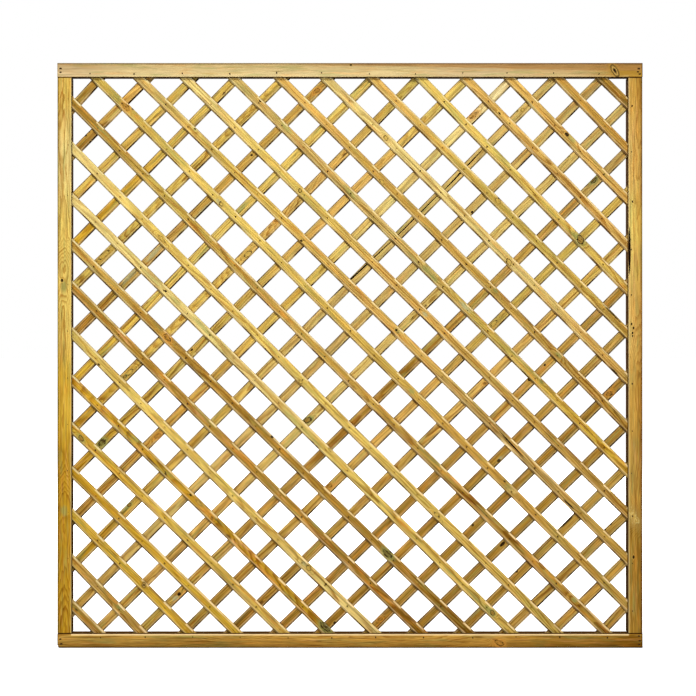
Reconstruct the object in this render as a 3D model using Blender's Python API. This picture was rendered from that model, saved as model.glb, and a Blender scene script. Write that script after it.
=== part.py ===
"""Diamond trellis panel: a grooved softwood frame round two layers of diagonal slats.

The panel stands upright on its bottom rail. X runs along it, Z is up and its front faces -Y.
The origin is the middle of its foot. Front slats fall from left to right as seen from the
front, back slats rise from left to right, and both layers end in the frame's grooves.
"""

import math

import bmesh
import bpy
from mathutils import Matrix, Vector

# Frame, in metres
PANEL_WIDTH = 1.800
PANEL_HEIGHT = 1.800
FRAME_DEPTH = 0.044
RAIL_HEIGHT = 0.044
STILE_WIDTH = 0.044
FRAME_EDGE_RADIUS = 0.003
GROOVE_DEPTH = 0.022
TENON_SETBACK = 0.0005

# Lattice, in metres apart from the count
SLATS_EACH_WAY = 24
SLAT_WIDTH = 0.0285
SLAT_THICKNESS = 0.008
SLAT_EDGE_RADIUS = 0.002
SLAT_END_ROOM = 0.002
FRONT_CORNER_INSET = 0.058
BACK_CORNER_INSET = 0.062

# The lattice is laid by hand: how far each slat's left and right ends stray from even spacing,
# away from the bottom left corner (front) or the top left one (back), as shares of the layer's
# pitch, from the slat in that corner onwards
FRONT_STRAY_SHARES = (
    (0.01, 0.00),
    (-0.01, -0.08),
    (-0.01, -0.03),
    (-0.09, -0.01),
    (-0.13, 0.02),
    (-0.09, 0.00),
    (-0.11, -0.03),
    (-0.09, -0.02),
    (-0.16, 0.03),
    (-0.15, -0.02),
    (-0.07, -0.06),
    (-0.08, 0.00),
    (0.00, 0.08),
    (-0.05, 0.11),
    (-0.05, 0.10),
    (0.02, 0.03),
    (0.02, 0.00),
    (0.02, 0.02),
    (0.04, 0.02),
    (0.07, -0.03),
    (0.05, -0.07),
    (0.00, -0.07),
    (0.07, 0.02),
    (0.01, 0.02),
)
BACK_STRAY_SHARES = (
    (0.03, -0.03),
    (0.04, 0.03),
    (0.02, 0.02),
    (0.05, -0.04),
    (-0.03, 0.01),
    (0.02, 0.00),
    (0.03, -0.07),
    (0.08, -0.05),
    (0.00, 0.00),
    (0.04, 0.00),
    (0.04, -0.08),
    (0.02, -0.05),
    (0.00, 0.07),
    (-0.01, 0.12),
    (-0.06, 0.01),
    (-0.04, 0.07),
    (-0.02, 0.05),
    (-0.07, 0.02),
    (-0.02, 0.02),
    (-0.05, 0.08),
    (-0.02, 0.02),
    (-0.05, 0.04),
    (-0.01, 0.02),
    (0.06, 0.03),
)

# Corner brads, in metres
BRAD_WIDTH = 0.0024
BRAD_THICKNESS = 0.0014
BRAD_SINK = 0.0006
BRAD_TIP_COVER = 0.006

# Heights of each corner's brads, as shares of the rail's height from its grooved edge
CORNER_BRAD_SHARES = {
    "top_left": (0.36, 0.65),
    "top_right": (0.22, 0.63),
    "bottom_left": (0.36, 0.73),
    "bottom_right": (0.20, 0.75),
}

# Clearances and roundings
FIT_GAP = 0.0003
CUT_OVERRUN = 0.005
ROUND_SEGMENTS = 3

# Sizes that follow from the ones above
GROOVE_WIDTH = 2 * SLAT_THICKNESS + 3 * FIT_GAP
SLAT_ENTRY = GROOVE_DEPTH - SLAT_END_ROOM
TENON_WIDTH = STILE_WIDTH - GROOVE_DEPTH
TENON_THICKNESS = GROOVE_WIDTH - 2 * FIT_GAP
CLEAR_HALF_WIDTH = PANEL_WIDTH / 2 - STILE_WIDTH
CLEAR_HALF_HEIGHT = PANEL_HEIGHT / 2 - RAIL_HEIGHT
CENTRE_HEIGHT = PANEL_HEIGHT / 2
FRONT_FACE_Y = -FRAME_DEPTH / 2
BACK_FACE_Y = FRAME_DEPTH / 2
LAYER_Y = (SLAT_THICKNESS + FIT_GAP) / 2
ROOT_TWO = math.sqrt(2)
SLAT_TURN = math.radians(45)
FRONT_LAYER = -1
BACK_LAYER = 1

# Colours of the treated pine and of the brads, linear RGB
FRAME_TONES = {
    "top_rail": (0.62, 0.45, 0.20),
    "bottom_rail": (0.40, 0.25, 0.08),
    "left_stile": (0.55, 0.38, 0.13),
    "right_stile": (0.46, 0.30, 0.10),
}
SLAT_TONES = (
    (0.60, 0.42, 0.15),
    (0.52, 0.36, 0.12),
    (0.63, 0.40, 0.13),
    (0.48, 0.36, 0.11),
    (0.56, 0.34, 0.10),
)
WOOD_ROUGHNESS = 0.7
BRAD_COLOUR = (0.18, 0.13, 0.08)
BRAD_ROUGHNESS = 0.45


def clear_scene():
    for obj in list(bpy.data.objects):
        bpy.data.objects.remove(obj, do_unlink=True)


def new_collection(name):
    collection = bpy.data.collections.new(name)
    bpy.context.scene.collection.children.link(collection)
    return collection


def principled(name, colour, roughness, metallic):
    material = bpy.data.materials.new(name)
    material.use_nodes = True
    shader = material.node_tree.nodes["Principled BSDF"]
    shader.inputs["Base Color"].default_value = (*colour, 1.0)
    shader.inputs["Roughness"].default_value = roughness
    shader.inputs["Metallic"].default_value = metallic
    material.diffuse_color = (*colour, 1.0)
    return material


def wood(name, colour):
    return principled(name, colour, WOOD_ROUGHNESS, 0.0)


def add_box(bm, low, high):
    """Adds a box between two opposite corners."""
    middle = (Vector(low) + Vector(high)) / 2
    size = Vector(high) - Vector(low)
    place = Matrix.Translation(middle) @ Matrix.Diagonal((*size, 1))
    bmesh.ops.create_cube(bm, size=1.0, matrix=place)


def round_edges(bm, edges, radius):
    bmesh.ops.bevel(
        bm, geom=edges, offset=radius, segments=ROUND_SEGMENTS, profile=0.5, affect="EDGES"
    )


def runs_along_x(edge):
    direction = edge.verts[1].co - edge.verts[0].co
    return abs(direction.x) > abs(direction.y) + abs(direction.z)


def object_from(bm, name, collection):
    mesh = bpy.data.meshes.new(name)
    bm.to_mesh(mesh)
    bm.free()
    obj = bpy.data.objects.new(name, mesh)
    collection.objects.link(obj)
    return obj


def new_part(bm, name, material):
    obj = object_from(bm, name, PARTS)
    obj.data.materials.append(material)
    return obj


def new_cutter(bm, name):
    obj = object_from(bm, name, CUTTERS)
    obj.hide_render = True
    obj.display_type = "WIRE"
    return obj


def shape_with(obj, tool, operation):
    modifier = obj.modifiers.new(tool.name, "BOOLEAN")
    modifier.operation = operation
    modifier.object = tool


def box_cutter(name, low, high):
    bm = bmesh.new()
    add_box(bm, low, high)
    return new_cutter(bm, name)


def make_rail(name, is_top):
    """A full-width rail with a groove along its inner edge and a slot right through each end."""
    base = PANEL_HEIGHT - RAIL_HEIGHT if is_top else 0.0
    bm = bmesh.new()
    add_box(
        bm,
        (-PANEL_WIDTH / 2, FRONT_FACE_Y, base),
        (PANEL_WIDTH / 2, BACK_FACE_Y, base + RAIL_HEIGHT),
    )
    round_edges(bm, [edge for edge in bm.edges if runs_along_x(edge)], FRAME_EDGE_RADIUS)
    rail = new_part(bm, name, wood(name, FRAME_TONES[name]))

    groove_base = base - CUT_OVERRUN if is_top else base + RAIL_HEIGHT - GROOVE_DEPTH
    groove = box_cutter(
        name + "_groove",
        (-PANEL_WIDTH / 2 - CUT_OVERRUN, -GROOVE_WIDTH / 2, groove_base),
        (PANEL_WIDTH / 2 + CUT_OVERRUN, GROOVE_WIDTH / 2, groove_base + GROOVE_DEPTH + CUT_OVERRUN),
    )
    shape_with(rail, groove, "DIFFERENCE")

    slots = bmesh.new()
    for side in (-1, 1):
        inner = side * (PANEL_WIDTH / 2 - TENON_WIDTH - FIT_GAP)
        outer = side * (PANEL_WIDTH / 2 + CUT_OVERRUN)
        add_box(
            slots,
            (min(inner, outer), -GROOVE_WIDTH / 2, base - CUT_OVERRUN),
            (max(inner, outer), GROOVE_WIDTH / 2, base + RAIL_HEIGHT + CUT_OVERRUN),
        )
    shape_with(rail, new_cutter(slots, name + "_slots"), "DIFFERENCE")
    return rail


def make_stile(name, side):
    """An upright between the rails, grooved along its inner edge, with a tenon at each end."""
    outer = side * PANEL_WIDTH / 2
    inner = side * (PANEL_WIDTH / 2 - STILE_WIDTH)
    shoulder_low = RAIL_HEIGHT + FIT_GAP
    shoulder_high = PANEL_HEIGHT - RAIL_HEIGHT - FIT_GAP
    bm = bmesh.new()
    add_box(
        bm,
        (min(inner, outer), FRONT_FACE_Y, shoulder_low),
        (max(inner, outer), BACK_FACE_Y, shoulder_high),
    )
    round_edges(bm, bm.edges[:], FRAME_EDGE_RADIUS)
    stile = new_part(bm, name, wood(name, FRAME_TONES[name]))

    tenon_inner = side * (PANEL_WIDTH / 2 - TENON_WIDTH)
    tenons = box_cutter(
        name + "_tenons",
        (min(tenon_inner, outer), -TENON_THICKNESS / 2, TENON_SETBACK),
        (max(tenon_inner, outer), TENON_THICKNESS / 2, PANEL_HEIGHT - TENON_SETBACK),
    )
    shape_with(stile, tenons, "UNION")

    groove_outer = inner - side * CUT_OVERRUN
    groove = box_cutter(
        name + "_groove",
        (min(tenon_inner, groove_outer), -GROOVE_WIDTH / 2, 0.0),
        (max(tenon_inner, groove_outer), GROOVE_WIDTH / 2, PANEL_HEIGHT),
    )
    shape_with(stile, groove, "DIFFERENCE")
    return stile


def slat_lines(corner_inset, stray_shares):
    """Each slat's distance from the panel's middle in even spacing, and its two ends' strays."""
    last = (CLEAR_HALF_WIDTH + CLEAR_HALF_HEIGHT) / ROOT_TWO - corner_inset
    pitch = 2 * last / (SLATS_EACH_WAY - 1)
    lines = []
    for index in range(SLATS_EACH_WAY):
        start_share, end_share = stray_shares[index % len(stray_shares)]
        lines.append((index * pitch - last, start_share * pitch, end_share * pitch))
    return lines


def span_within(offset, half_width, half_height):
    """Where a diagonal centre line enters and leaves a rectangle round the panel's middle."""
    start = max(-half_width * ROOT_TWO - offset, offset - half_height * ROOT_TWO)
    end = min(half_width * ROOT_TWO - offset, offset + half_height * ROOT_TWO)
    return start, end


def point_on_slat(layer, offset, along):
    """The X and Z of a point on a slat's centre line."""
    x = (offset + along) / ROOT_TWO
    z = (along - offset) / ROOT_TWO * layer
    return x, CENTRE_HEIGHT + z


def make_slat(name, layer, line, tone):
    """One slat with its outward long edges rounded and left a little longer than the grooves."""
    offset, start_stray, end_stray = line
    start, end = span_within(offset, CLEAR_HALF_WIDTH, CLEAR_HALF_HEIGHT)
    drift = end_stray - start_stray
    reach = ROOT_TWO * SLAT_ENTRY + SLAT_WIDTH / 2 + max(abs(start_stray), abs(end_stray))
    half_length = (end - start) / 2 + reach + CUT_OVERRUN
    bm = bmesh.new()
    add_box(
        bm,
        (-half_length, -SLAT_THICKNESS / 2, -SLAT_WIDTH / 2),
        (half_length, SLAT_THICKNESS / 2, SLAT_WIDTH / 2),
    )
    outward = [
        edge for edge in bm.edges if runs_along_x(edge) and edge.verts[0].co.y * layer > 0
    ]
    round_edges(bm, outward, SLAT_EDGE_RADIUS)
    slat = new_part(bm, name, wood(name, tone))
    x, z = point_on_slat(layer, offset + (start_stray + end_stray) / 2, (start + end) / 2)
    slat.location = (x, layer * LAYER_Y, z)
    slat.rotation_euler = (0.0, layer * (math.atan2(drift, end - start) - SLAT_TURN), 0.0)
    return slat


def make_layer(prefix, layer, lines):
    slats = []
    for index, line in enumerate(lines):
        tone = SLAT_TONES[(index * 2 + layer) % len(SLAT_TONES)]
        slats.append(make_slat(f"{prefix}_{index + 1:02d}", layer, line, tone))
    return slats


def make_trim_block():
    """The rectangle that both layers are cut to, a little inside the bottoms of the grooves."""
    half_width = CLEAR_HALF_WIDTH + SLAT_ENTRY
    half_height = CLEAR_HALF_HEIGHT + SLAT_ENTRY
    return box_cutter(
        "trim_block",
        (-half_width, FRONT_FACE_Y, CENTRE_HEIGHT - half_height),
        (half_width, BACK_FACE_Y, CENTRE_HEIGHT + half_height),
    )


def corner_brad_places():
    """Names and places of the corner brads, over the middle of each tenon."""
    places = {}
    for corner, shares in CORNER_BRAD_SHARES.items():
        side = -1 if corner.endswith("left") else 1
        x = side * (PANEL_WIDTH - TENON_WIDTH) / 2
        for number, share in enumerate(shares, start=1):
            rise = RAIL_HEIGHT * (1 - share)
            z = PANEL_HEIGHT - rise if corner.startswith("top") else rise
            places[f"{corner}_brad_{number}"] = (x, z)
    return places


def make_corner_brads():
    """The brads through the tenons, and the cutter for all the holes they sit in."""
    tip_y = BACK_FACE_Y - BRAD_TIP_COVER
    half_width = BRAD_WIDTH / 2
    half_thickness = BRAD_THICKNESS / 2
    holes = bmesh.new()
    for name, (x, z) in corner_brad_places().items():
        brad = bmesh.new()
        add_box(
            brad,
            (x - half_thickness, FRONT_FACE_Y + BRAD_SINK, z - half_width),
            (x + half_thickness, tip_y, z + half_width),
        )
        new_part(brad, name, principled(name, BRAD_COLOUR, BRAD_ROUGHNESS, 1.0))
        add_box(
            holes,
            (x - half_thickness - FIT_GAP, FRONT_FACE_Y - CUT_OVERRUN, z - half_width - FIT_GAP),
            (x + half_thickness + FIT_GAP, tip_y + FIT_GAP, z + half_width + FIT_GAP),
        )
    return new_cutter(holes, "corner_brad_holes")


clear_scene()
PARTS = new_collection("trellis_panel")
CUTTERS = new_collection("cutters")

frame_members = [
    make_rail("top_rail", True),
    make_rail("bottom_rail", False),
    make_stile("left_stile", -1),
    make_stile("right_stile", 1),
]
corner_brad_holes = make_corner_brads()
for member in frame_members:
    shape_with(member, corner_brad_holes, "DIFFERENCE")

slats = make_layer("front_slat", FRONT_LAYER, slat_lines(FRONT_CORNER_INSET, FRONT_STRAY_SHARES))
slats += make_layer("back_slat", BACK_LAYER, slat_lines(BACK_CORNER_INSET, BACK_STRAY_SHARES))
trim_block = make_trim_block()
for slat in slats:
    shape_with(slat, trim_block, "INTERSECT")
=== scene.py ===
"""Looks of the diamond trellis panel: pine frame and slats, and the brads that hold them.

The row frame is used throughout, in metres: X along the panel, Z up and the front facing -Y.
Each wooden piece is built in axes of its own and turned into place about Y: x runs along the
grain, y from front to back and z across, towards the panel's middle on a frame member and
upwards on a slat. Its material reads the same axes.
"""

import math
import random
from collections import namedtuple
from itertools import product
from types import SimpleNamespace

import bmesh
import bpy
from mathutils import Matrix, Vector, noise


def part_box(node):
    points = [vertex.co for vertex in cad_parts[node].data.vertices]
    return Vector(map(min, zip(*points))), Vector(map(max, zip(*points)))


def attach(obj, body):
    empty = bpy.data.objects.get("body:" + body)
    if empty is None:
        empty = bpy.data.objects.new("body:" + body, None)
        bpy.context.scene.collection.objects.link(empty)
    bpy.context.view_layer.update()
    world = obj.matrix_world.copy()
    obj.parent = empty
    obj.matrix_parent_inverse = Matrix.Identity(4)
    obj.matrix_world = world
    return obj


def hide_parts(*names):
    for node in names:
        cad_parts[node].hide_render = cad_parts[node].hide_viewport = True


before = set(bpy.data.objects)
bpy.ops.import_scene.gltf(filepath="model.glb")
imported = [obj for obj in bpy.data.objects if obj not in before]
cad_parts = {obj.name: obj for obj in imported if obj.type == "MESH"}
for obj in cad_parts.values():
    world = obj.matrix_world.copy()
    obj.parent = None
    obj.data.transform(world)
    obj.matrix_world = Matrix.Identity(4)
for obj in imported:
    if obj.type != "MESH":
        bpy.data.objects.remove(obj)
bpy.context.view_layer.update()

# Camera, from the photograph: the lens points straight at the panel, a little left of its middle
PHOTO_SIZE = 696
CAMERA_PLACE = (-0.1445, -5.302, 1.046)
CAMERA_LENS_MM = 88.8
CAMERA_SENSOR_MM = 36.0
CAMERA_SHIFT = (0.0647, -0.0575)

# Slats
SLATS_EACH_WAY = 24
LAYERS = ("front", "back")
SLAT_STATION = 0.012
SLAT_EDGE_RADIUS = 0.0024
SLAT_ARRIS_RADIUS = 0.0006
SLAT_WANDER = 0.0007
SLAT_EDGE_WAVE = 0.0003

# How much sooner than the CAD's slats the wood stops in the grooves, out of sight, so that the box
# round a bent slat stays inside the panel's
SLAT_SHORTENING = Vector((0.0015, 0, 0.0015))

# How far the middle of a slat bends away from its two ends, in millimetres across it. The middle
# lies off the CAD's straight slat by the balance share of that, and the ends lie off it by the
# rest, the other way, so that the slat as a whole keeps its place
BOW_BALANCE_SHARE = 1 / 3
SLAT_BOWS = {
    "front": {
        5: 1.0,
        6: 1.5,
        7: -6.5,
        8: -6.0,
        9: -3.5,
        10: -2.0,
        11: -6.0,
        12: -6.5,
        13: -1.0,
        14: 2.0,
        16: 2.5,
        17: 3.5,
        18: 2.5,
        19: 2.0,
    },
    "back": {
        6: -1.5,
        7: 1.5,
        8: -2.5,
        9: 3.0,
        11: 2.0,
        12: 1.5,
        14: -4.0,
        16: -2.5,
        17: -5.0,
        18: -2.0,
    },
}

# Frame members
MEMBER_TURN = {
    "bottom_rail": 0.0,
    "top_rail": math.pi,
    "left_stile": math.pi / 2,
    "right_stile": -math.pi / 2,
}
MEMBER_STATION = 0.020
MEMBER_EDGE_RADIUS = 0.003
MEMBER_INNER_RADIUS = 0.002
STILE_END_ANGLES = (0, 25, 50, 75)
MEMBER_WAVE = 0.00025
MEMBER_WAVE_MIDDLE = 0.6
WAVE_ROWS_PER_METRE = 100
LIP_ARRIS_RADIUS = 0.0006
GROOVE_DEPTH = 0.022
FIT_GAP = 0.0003
TENON_SETBACK = 0.0005
TENON_ROOT = 0.020

# Brads
BRAD_PIT_LENGTH = 0.0056
BRAD_PIT_WIDTH = 0.0036
BRAD_PIT_DEPTH = 0.0024
CROSSING_PIT_SIZES = (0.45, 1.05)
LIP_PIT_SIZES = {
    "top_rail": (0.8, 1.15),
    "bottom_rail": (0.6, 1.1),
    "left_stile": (0.35, 0.6),
    "right_stile": (0.6, 1.2),
}
CORNER_PIT_SIZES = (1.1, 1.5)
BRAD_HEAD_LENGTH = 0.0026
BRAD_HEAD_WIDTH = 0.0014
BRAD_HEAD_THICKNESS = 0.0005
BRAD_HEAD_BEVEL = 0.0001
BRAD_SHANK_WIDTH = 0.0011
BRAD_SHANK_LENGTH = 0.014
BRAD_PLACE_SCATTER = 0.0022
LIP_BRAD_SCATTER = 0.005
BRAD_TURN_SCATTER = math.radians(16)
LIP_BRAD_INSET = 0.0115

# The third brads of the right-hand corners, at pixels of the photograph
THIRD_BRADS = {"top_rail": (637.3, 71.3), "bottom_rail": (639.3, 641.1)}

# Cracks and chips
CRACK_DEPTH = 0.006
CRACK_STATION = 0.003
CRACK_WANDER = 0.0006
CRACK_WANDERS_PER_METRE = 60
CRACK_TIP = 0.0001
CRACK_BLUNTNESS = 0.6
CRACK_FLOOR_SHARE = 1 / 4
CHIP_DEPTH_SHARE = 0.8
CHIP_ROUGHNESS = 0.35
CHIP_LUMPS = 2
CHIP_ROUNDS = 3

# Used by several pieces
MILLIMETRE = 0.001
FRONT, BACK = -1, 1
UPRIGHT = math.pi / 2
CUT_OVERRUN = 0.004
ROUND_STEPS = 4
BEVEL_STEPS = 2
SMOOTH_ANGLE = math.radians(40)
BACK_SEED = 100
MEMBER_SEED = 201
SIDE_SEED = 9

# How fast a piece's sides wander: for each metre along it, from row to row and from seed to seed,
# and how many times as fast along a slat its edges and its middle line do
WAVE_STEPS = (2.2, 3.7, 1.31)
EDGE_WAVES = 3
MIDDLE_WAVES = 0.5

# Tones of the treated pine in plain light, 0 to 255
TONES = {
    "glow": (250, 218, 156),
    "pale": (222, 203, 146),
    "shell": (198, 176, 124),
    "beige": (188, 164, 119),
    "dust": (188, 159, 108),
    "oat": (206, 178, 100),
    "cream": (214, 191, 116),
    "sand": (193, 164, 92),
    "straw": (212, 183, 92),
    "honey": (202, 170, 80),
    "gold": (204, 166, 56),
    "amber": (192, 150, 40),
    "olive": (184, 158, 74),
    "brown": (180, 144, 66),
    "tan": (174, 145, 80),
    "umber": (160, 122, 46),
    "rust": (136, 96, 24),
    "clay": (204, 164, 84),
    "tawny": (190, 148, 66),
    "ochre": (178, 137, 34),
    "orange": (206, 140, 54),
    "rose": (206, 156, 96),
    "heart": (160, 118, 66),
    "moss": (136, 142, 78),
    "ash": (164, 164, 120),
    "bark": (80, 54, 22),
    "knot": (112, 70, 30),
    "pit": (34, 20, 8),
    "soot": (8, 5, 2),
}

# Each slat's tones, from its left end to its right end
FRONT_TONES = (
    "umber",
    "brown",
    "gold",
    "ochre gold",
    "gold honey",
    "amber ochre ochre",
    "straw straw cream",
    "umber umber umber rust",
    "brown umber umber rust",
    "cream cream straw honey",
    "cream straw straw straw olive",
    "umber olive brown brown umber umber",
    "olive straw honey tawny brown",
    "sand honey clay tan brown",
    "cream straw clay brown brown",
    "sand sand olive gold",
    "clay brown brown umber",
    "cream cream clay",
    "clay olive honey",
    "straw honey",
    "clay clay",
    "clay",
    "tawny",
    "umber",
)
BACK_TONES = (
    "umber",
    "umber clay",
    "honey",
    "amber honey",
    "olive honey",
    "umber brown brown",
    "gold straw straw",
    "ochre honey clay olive",
    "ochre olive clay straw",
    "umber tawny honey cream pale",
    "ochre honey sand sand sand",
    "brown sand sand sand sand tan",
    "brown clay oat oat oat sand",
    "olive brown umber brown tan",
    "umber brown clay olive honey",
    "umber brown clay honey",
    "umber umber brown umber",
    "umber umber brown",
    "umber umber umber",
    "umber umber",
    "umber brown",
    "brown",
    "tawny",
    "tawny",
)

# Knots and stains: what they are, where the photograph shows them in pixels, and their length
# along the grain and width in millimetres
FRONT_MARKS = (
    ("knot", (126, 107), 30, 16),
    ("dark", (122, 103), 12, 4),
    ("warm", (137, 117), 34, 14),
    ("shade", (77, 102), 34, 20),
    ("dark", (74, 110), 14, 8),
    ("green", (195, 129), 22, 12),
    ("pin", (195, 129), 6, 4),
    ("eye", (161.5, 238.5), 26, 11),
    ("pin", (260, 101), 7, 5),
    ("eye", (300, 190.5), 16, 11),
    ("eye", (386, 138), 18, 11),
    ("pin", (499.5, 113.3), 9, 5),
    ("pin", (567, 134.4), 13, 10),
    ("green", (572, 139), 44, 15),
    ("eye", (498.2, 200.5), 22, 14),
    ("dead", (580.5, 240), 26, 22),
    ("green", (575, 235), 40, 22),
    ("pin", (165.6, 291), 8, 6),
    ("knot", (167.5, 337.5), 27, 16),
    ("pin", (98.7, 364.5), 8, 5),
    ("dead", (81, 438.3), 22, 12),
    ("pin", (301.3, 240.7), 8, 7),
    ("pin", (396.4, 330), 8, 7),
    ("green", (397.5, 331), 30, 16),
    ("eye", (300.5, 382), 14, 10),
    ("green", (411.7, 391.3), 26, 18),
    ("green", (426, 269.4), 38, 18),
    ("warm", (282, 314), 40, 16),
    ("ringed", (144, 585), 15, 15),
    ("green", (119, 607), 20, 18),
    ("swirl", (512, 491), 32, 22),
    ("green", (509, 487), 36, 20),
    ("dead", (492.5, 613), 17, 13),
    ("green", (488, 608), 34, 16),
    ("rot", (325, 627), 36, 18),
    ("dark", (273, 617.5), 34, 12),
    ("pin", (272, 437), 9, 7),
    ("eye", (330, 449.6), 13, 8),
    ("dark", (308, 516), 16, 12),
    ("green", (316, 524), 44, 18),
    ("eye", (308.5, 568), 17, 15),
    ("ashen", (305, 564), 30, 16),
    ("pin", (326, 584), 7, 5),
    ("rot", (387.5, 554), 34, 17),
    ("warm", (403, 524), 70, 12),
    ("warm", (207, 512), 60, 22),
    ("warm", (240, 550), 70, 16),
    ("warm", (268, 577), 110, 22),
    ("shade", (222, 531), 50, 24),
    ("sliver", (507.5, 446.0), 60, 6),
    ("sliver", (566.5, 505.0), 56, 4),
    ("green", (574, 600), 26, 16),
    ("pin", (504.6, 481.5), 8, 5),
    ("shade", (580, 514), 34, 18),
    ("dark", (576, 517), 20, 6),
    ("eye", (437, 515), 22, 12),
    ("dark", (151, 461), 60, 10),
    ("pin", (165.6, 474), 8, 5),
    ("pin", (190.5, 495), 9, 6),
    ("eye", (199, 503), 26, 10),
    ("knot", (212, 518), 12, 9),
    ("dark", (228, 537), 26, 14),
    ("eye", (509, 262), 24, 14),
    ("dark", (507, 261), 8, 5),
    ("green", (495.5, 290.5), 26, 14),
    ("green", (558.8, 355), 26, 14),
    ("ashen", (465, 307), 60, 18),
    ("green", (434, 278), 40, 16),
    ("green", (541, 381.7), 20, 12),
    ("warm", (623, 286), 30, 16),
    ("warm", (446, 331), 40, 12),
    ("green", (286, 128), 60, 18),
    ("green", (350, 193), 80, 18),
    ("dark", (76.4, 609.8), 16, 10),
    ("line", (612, 313.5), 104, 8),
    ("ashen", (219, 202), 30, 15),
    ("eye", (221, 204), 16, 10),
    ("ashen", (425, 314.5), 28, 15),
    ("eye", (382, 181.5), 18, 10),
    ("line", (614.3, 371.5), 54, 8),
)
BACK_MARKS = (
    ("pin", (86, 135.5), 8, 5),
    ("pin", (89.5, 132), 6, 4),
    ("pin", (90.2, 142), 9, 5),
    ("dark", (224, 93.5), 16, 9),
    ("ashen", (204, 211), 84, 20),
    ("ashen", (154, 253.5), 84, 20),
    ("ashen", (129.5, 276.5), 80, 18),
    ("knot", (316.6, 91), 22, 14),
    ("dark", (344, 155), 26, 7),
    ("pin", (251.6, 155), 8, 6),
    ("knot", (277, 220), 18, 10),
    ("knot", (473.4, 115.3), 30, 15),
    ("eye", (522.5, 110), 13, 10),
    ("dead", (517, 111), 7, 6),
    ("dead", (567.8, 156.3), 9, 8),
    ("rot", (594, 180), 26, 15),
    ("pin", (592, 178.5), 10, 8),
    ("pin", (472, 212), 8, 6),
    ("eye", (104, 255), 40, 14),
    ("eye", (129.3, 372.8), 26, 14),
    ("dead", (124.8, 376.6), 12, 9),
    ("pin", (191.8, 349.8), 8, 6),
    ("rot", (102, 442.5), 26, 18),
    ("eye", (247.8, 254), 26, 14),
    ("dead", (307.7, 420), 22, 18),
    ("green", (309, 419), 34, 22),
    ("dark", (425.7, 305.8), 12, 8),
    ("knot", (609.6, 393.5), 19, 15),
    ("pin", (334.7, 622.9), 9, 8),
    ("knot", (380, 619), 14, 11),
    ("dead", (129.5, 505), 14, 9),
    ("green", (126, 508), 30, 16),
    ("pin", (179.2, 594), 12, 9),
    ("ashen", (175.5, 598), 30, 18),
    ("pin", (502.5, 544), 19, 9),
    ("dark", (505, 540), 26, 8),
    ("line", (566.8, 521.9), 74, 9),
    ("lens", (139, 590), 60, 9),
    ("lens", (170, 561), 150, 9),
    ("lens", (323, 408), 60, 10),
    ("lens", (415, 316.5), 44, 11),
    ("lens", (433, 298.5), 44, 13),
    ("pin", (498.9, 460.6), 11, 9),
    ("ashen", (500, 458.5), 22, 12),
    ("pin", (472.7, 525), 8, 7),
    ("warm", (468, 528), 24, 12),
    ("pin", (605, 529.5), 7, 5),
    ("pin", (610.8, 524.3), 8, 5),
    ("knot", (484.8, 383.6), 10, 8),
    ("pin", (529.5, 379.5), 11, 8),
    ("pin", (544.8, 365), 8, 6),
    ("shade", (476, 298), 60, 14),
    ("eye", (494, 323.5), 24, 13),
    ("knot", (329.5, 486), 17, 13),
    ("dark", (261.5, 602), 18, 8),
    ("knot", (157.5, 436), 22, 13),
    ("lens", (384, 390), 60, 16),
    ("lens", (410, 366), 70, 15),
    ("pin", (516.7, 571.6), 8, 6),
)

# Knots and stains of the frame members, as above
MEMBER_MARKS = {
    "top_rail": (("ringed", (614.8, 70.7), 21, 36), ("pin", (351, 65), 7, 6)),
    "bottom_rail": (("knot", (499, 643), 26, 18), ("dark", (495, 639.5), 22, 5)),
    "left_stile": (
        ("pin", (62, 280.3), 10, 8),
        ("green", (63.5, 287), 46, 24),
        ("green", (64, 511), 40, 26),
    ),
    "right_stile": (
        ("pin", (631.5, 324), 7, 5),
        ("pin", (633.5, 328), 8, 5),
        ("pin", (632.5, 333), 7, 5),
        ("swirl", (633, 516), 44, 36),
        ("sliver", (627.9, 250), 140, 8),
        ("pin", (633.5, 557), 10, 6),
    ),
}

# Stretches where the rings run out at a member's face in nested arches: the pixel where the first
# arch has its top, the length over which they follow, and the depth of wood they cross, in
# millimetres. A length below zero runs against the member's x
MEMBER_ARCHES = {
    "top_rail": (((470, 70), 260, 8),),
    "bottom_rail": (((285, 643), -130, 9),),
    "left_stile": (((64, 232), 110, 14), ((64, 452), 210, 34), ((64, 556), 230, 12)),
    "right_stile": (((636, 300), -240, 8), ((636, 540), -200, 7)),
}

# Tones of the members from local x = -half to +half: upwards or to the right on the right stile
# and the bottom rail, downwards or to the left on the other two
MEMBER_TONES = {
    "top_rail": "umber dust beige shell shell shell shell beige",
    "bottom_rail": "brown brown brown tawny tawny tawny umber rust",
    "left_stile": "honey cream straw straw gold ochre ochre ochre",
    "right_stile": "umber umber brown tawny clay straw clay tawny",
}

# Tints of a member's inner and outer side, between which its colour changes across it
MEMBER_GRADES = {
    "top_rail": ((1.12, 1.14, 1.18), (0.84, 0.80, 0.74)),
    "bottom_rail": ((1.08, 1.08, 1.10), (0.68, 0.61, 0.50)),
    "left_stile": ((1.02, 1.02, 1.04), (0.92, 0.90, 0.88)),
    "right_stile": ((1.08, 1.12, 1.25), (0.84, 0.76, 0.60)),
}

# How strongly the members show their rings, and their streaks
MEMBER_FIGURES = {
    "top_rail": (0.35, 0.45),
    "bottom_rail": (0.85, 1.0),
    "left_stile": (1.0, 0.6),
    "right_stile": (0.70, 0.8),
}

# How dark the painted shade line at each member's two ends is, along its joints and rounded ends: at
# local x = -half and +half
MEMBER_END_SHADES = {
    "top_rail": (0.9, 0.3),
    "bottom_rail": (0.9, 0.9),
    "left_stile": (0.7, 1.0),
    "right_stile": (0.9, 0.9),
}

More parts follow.
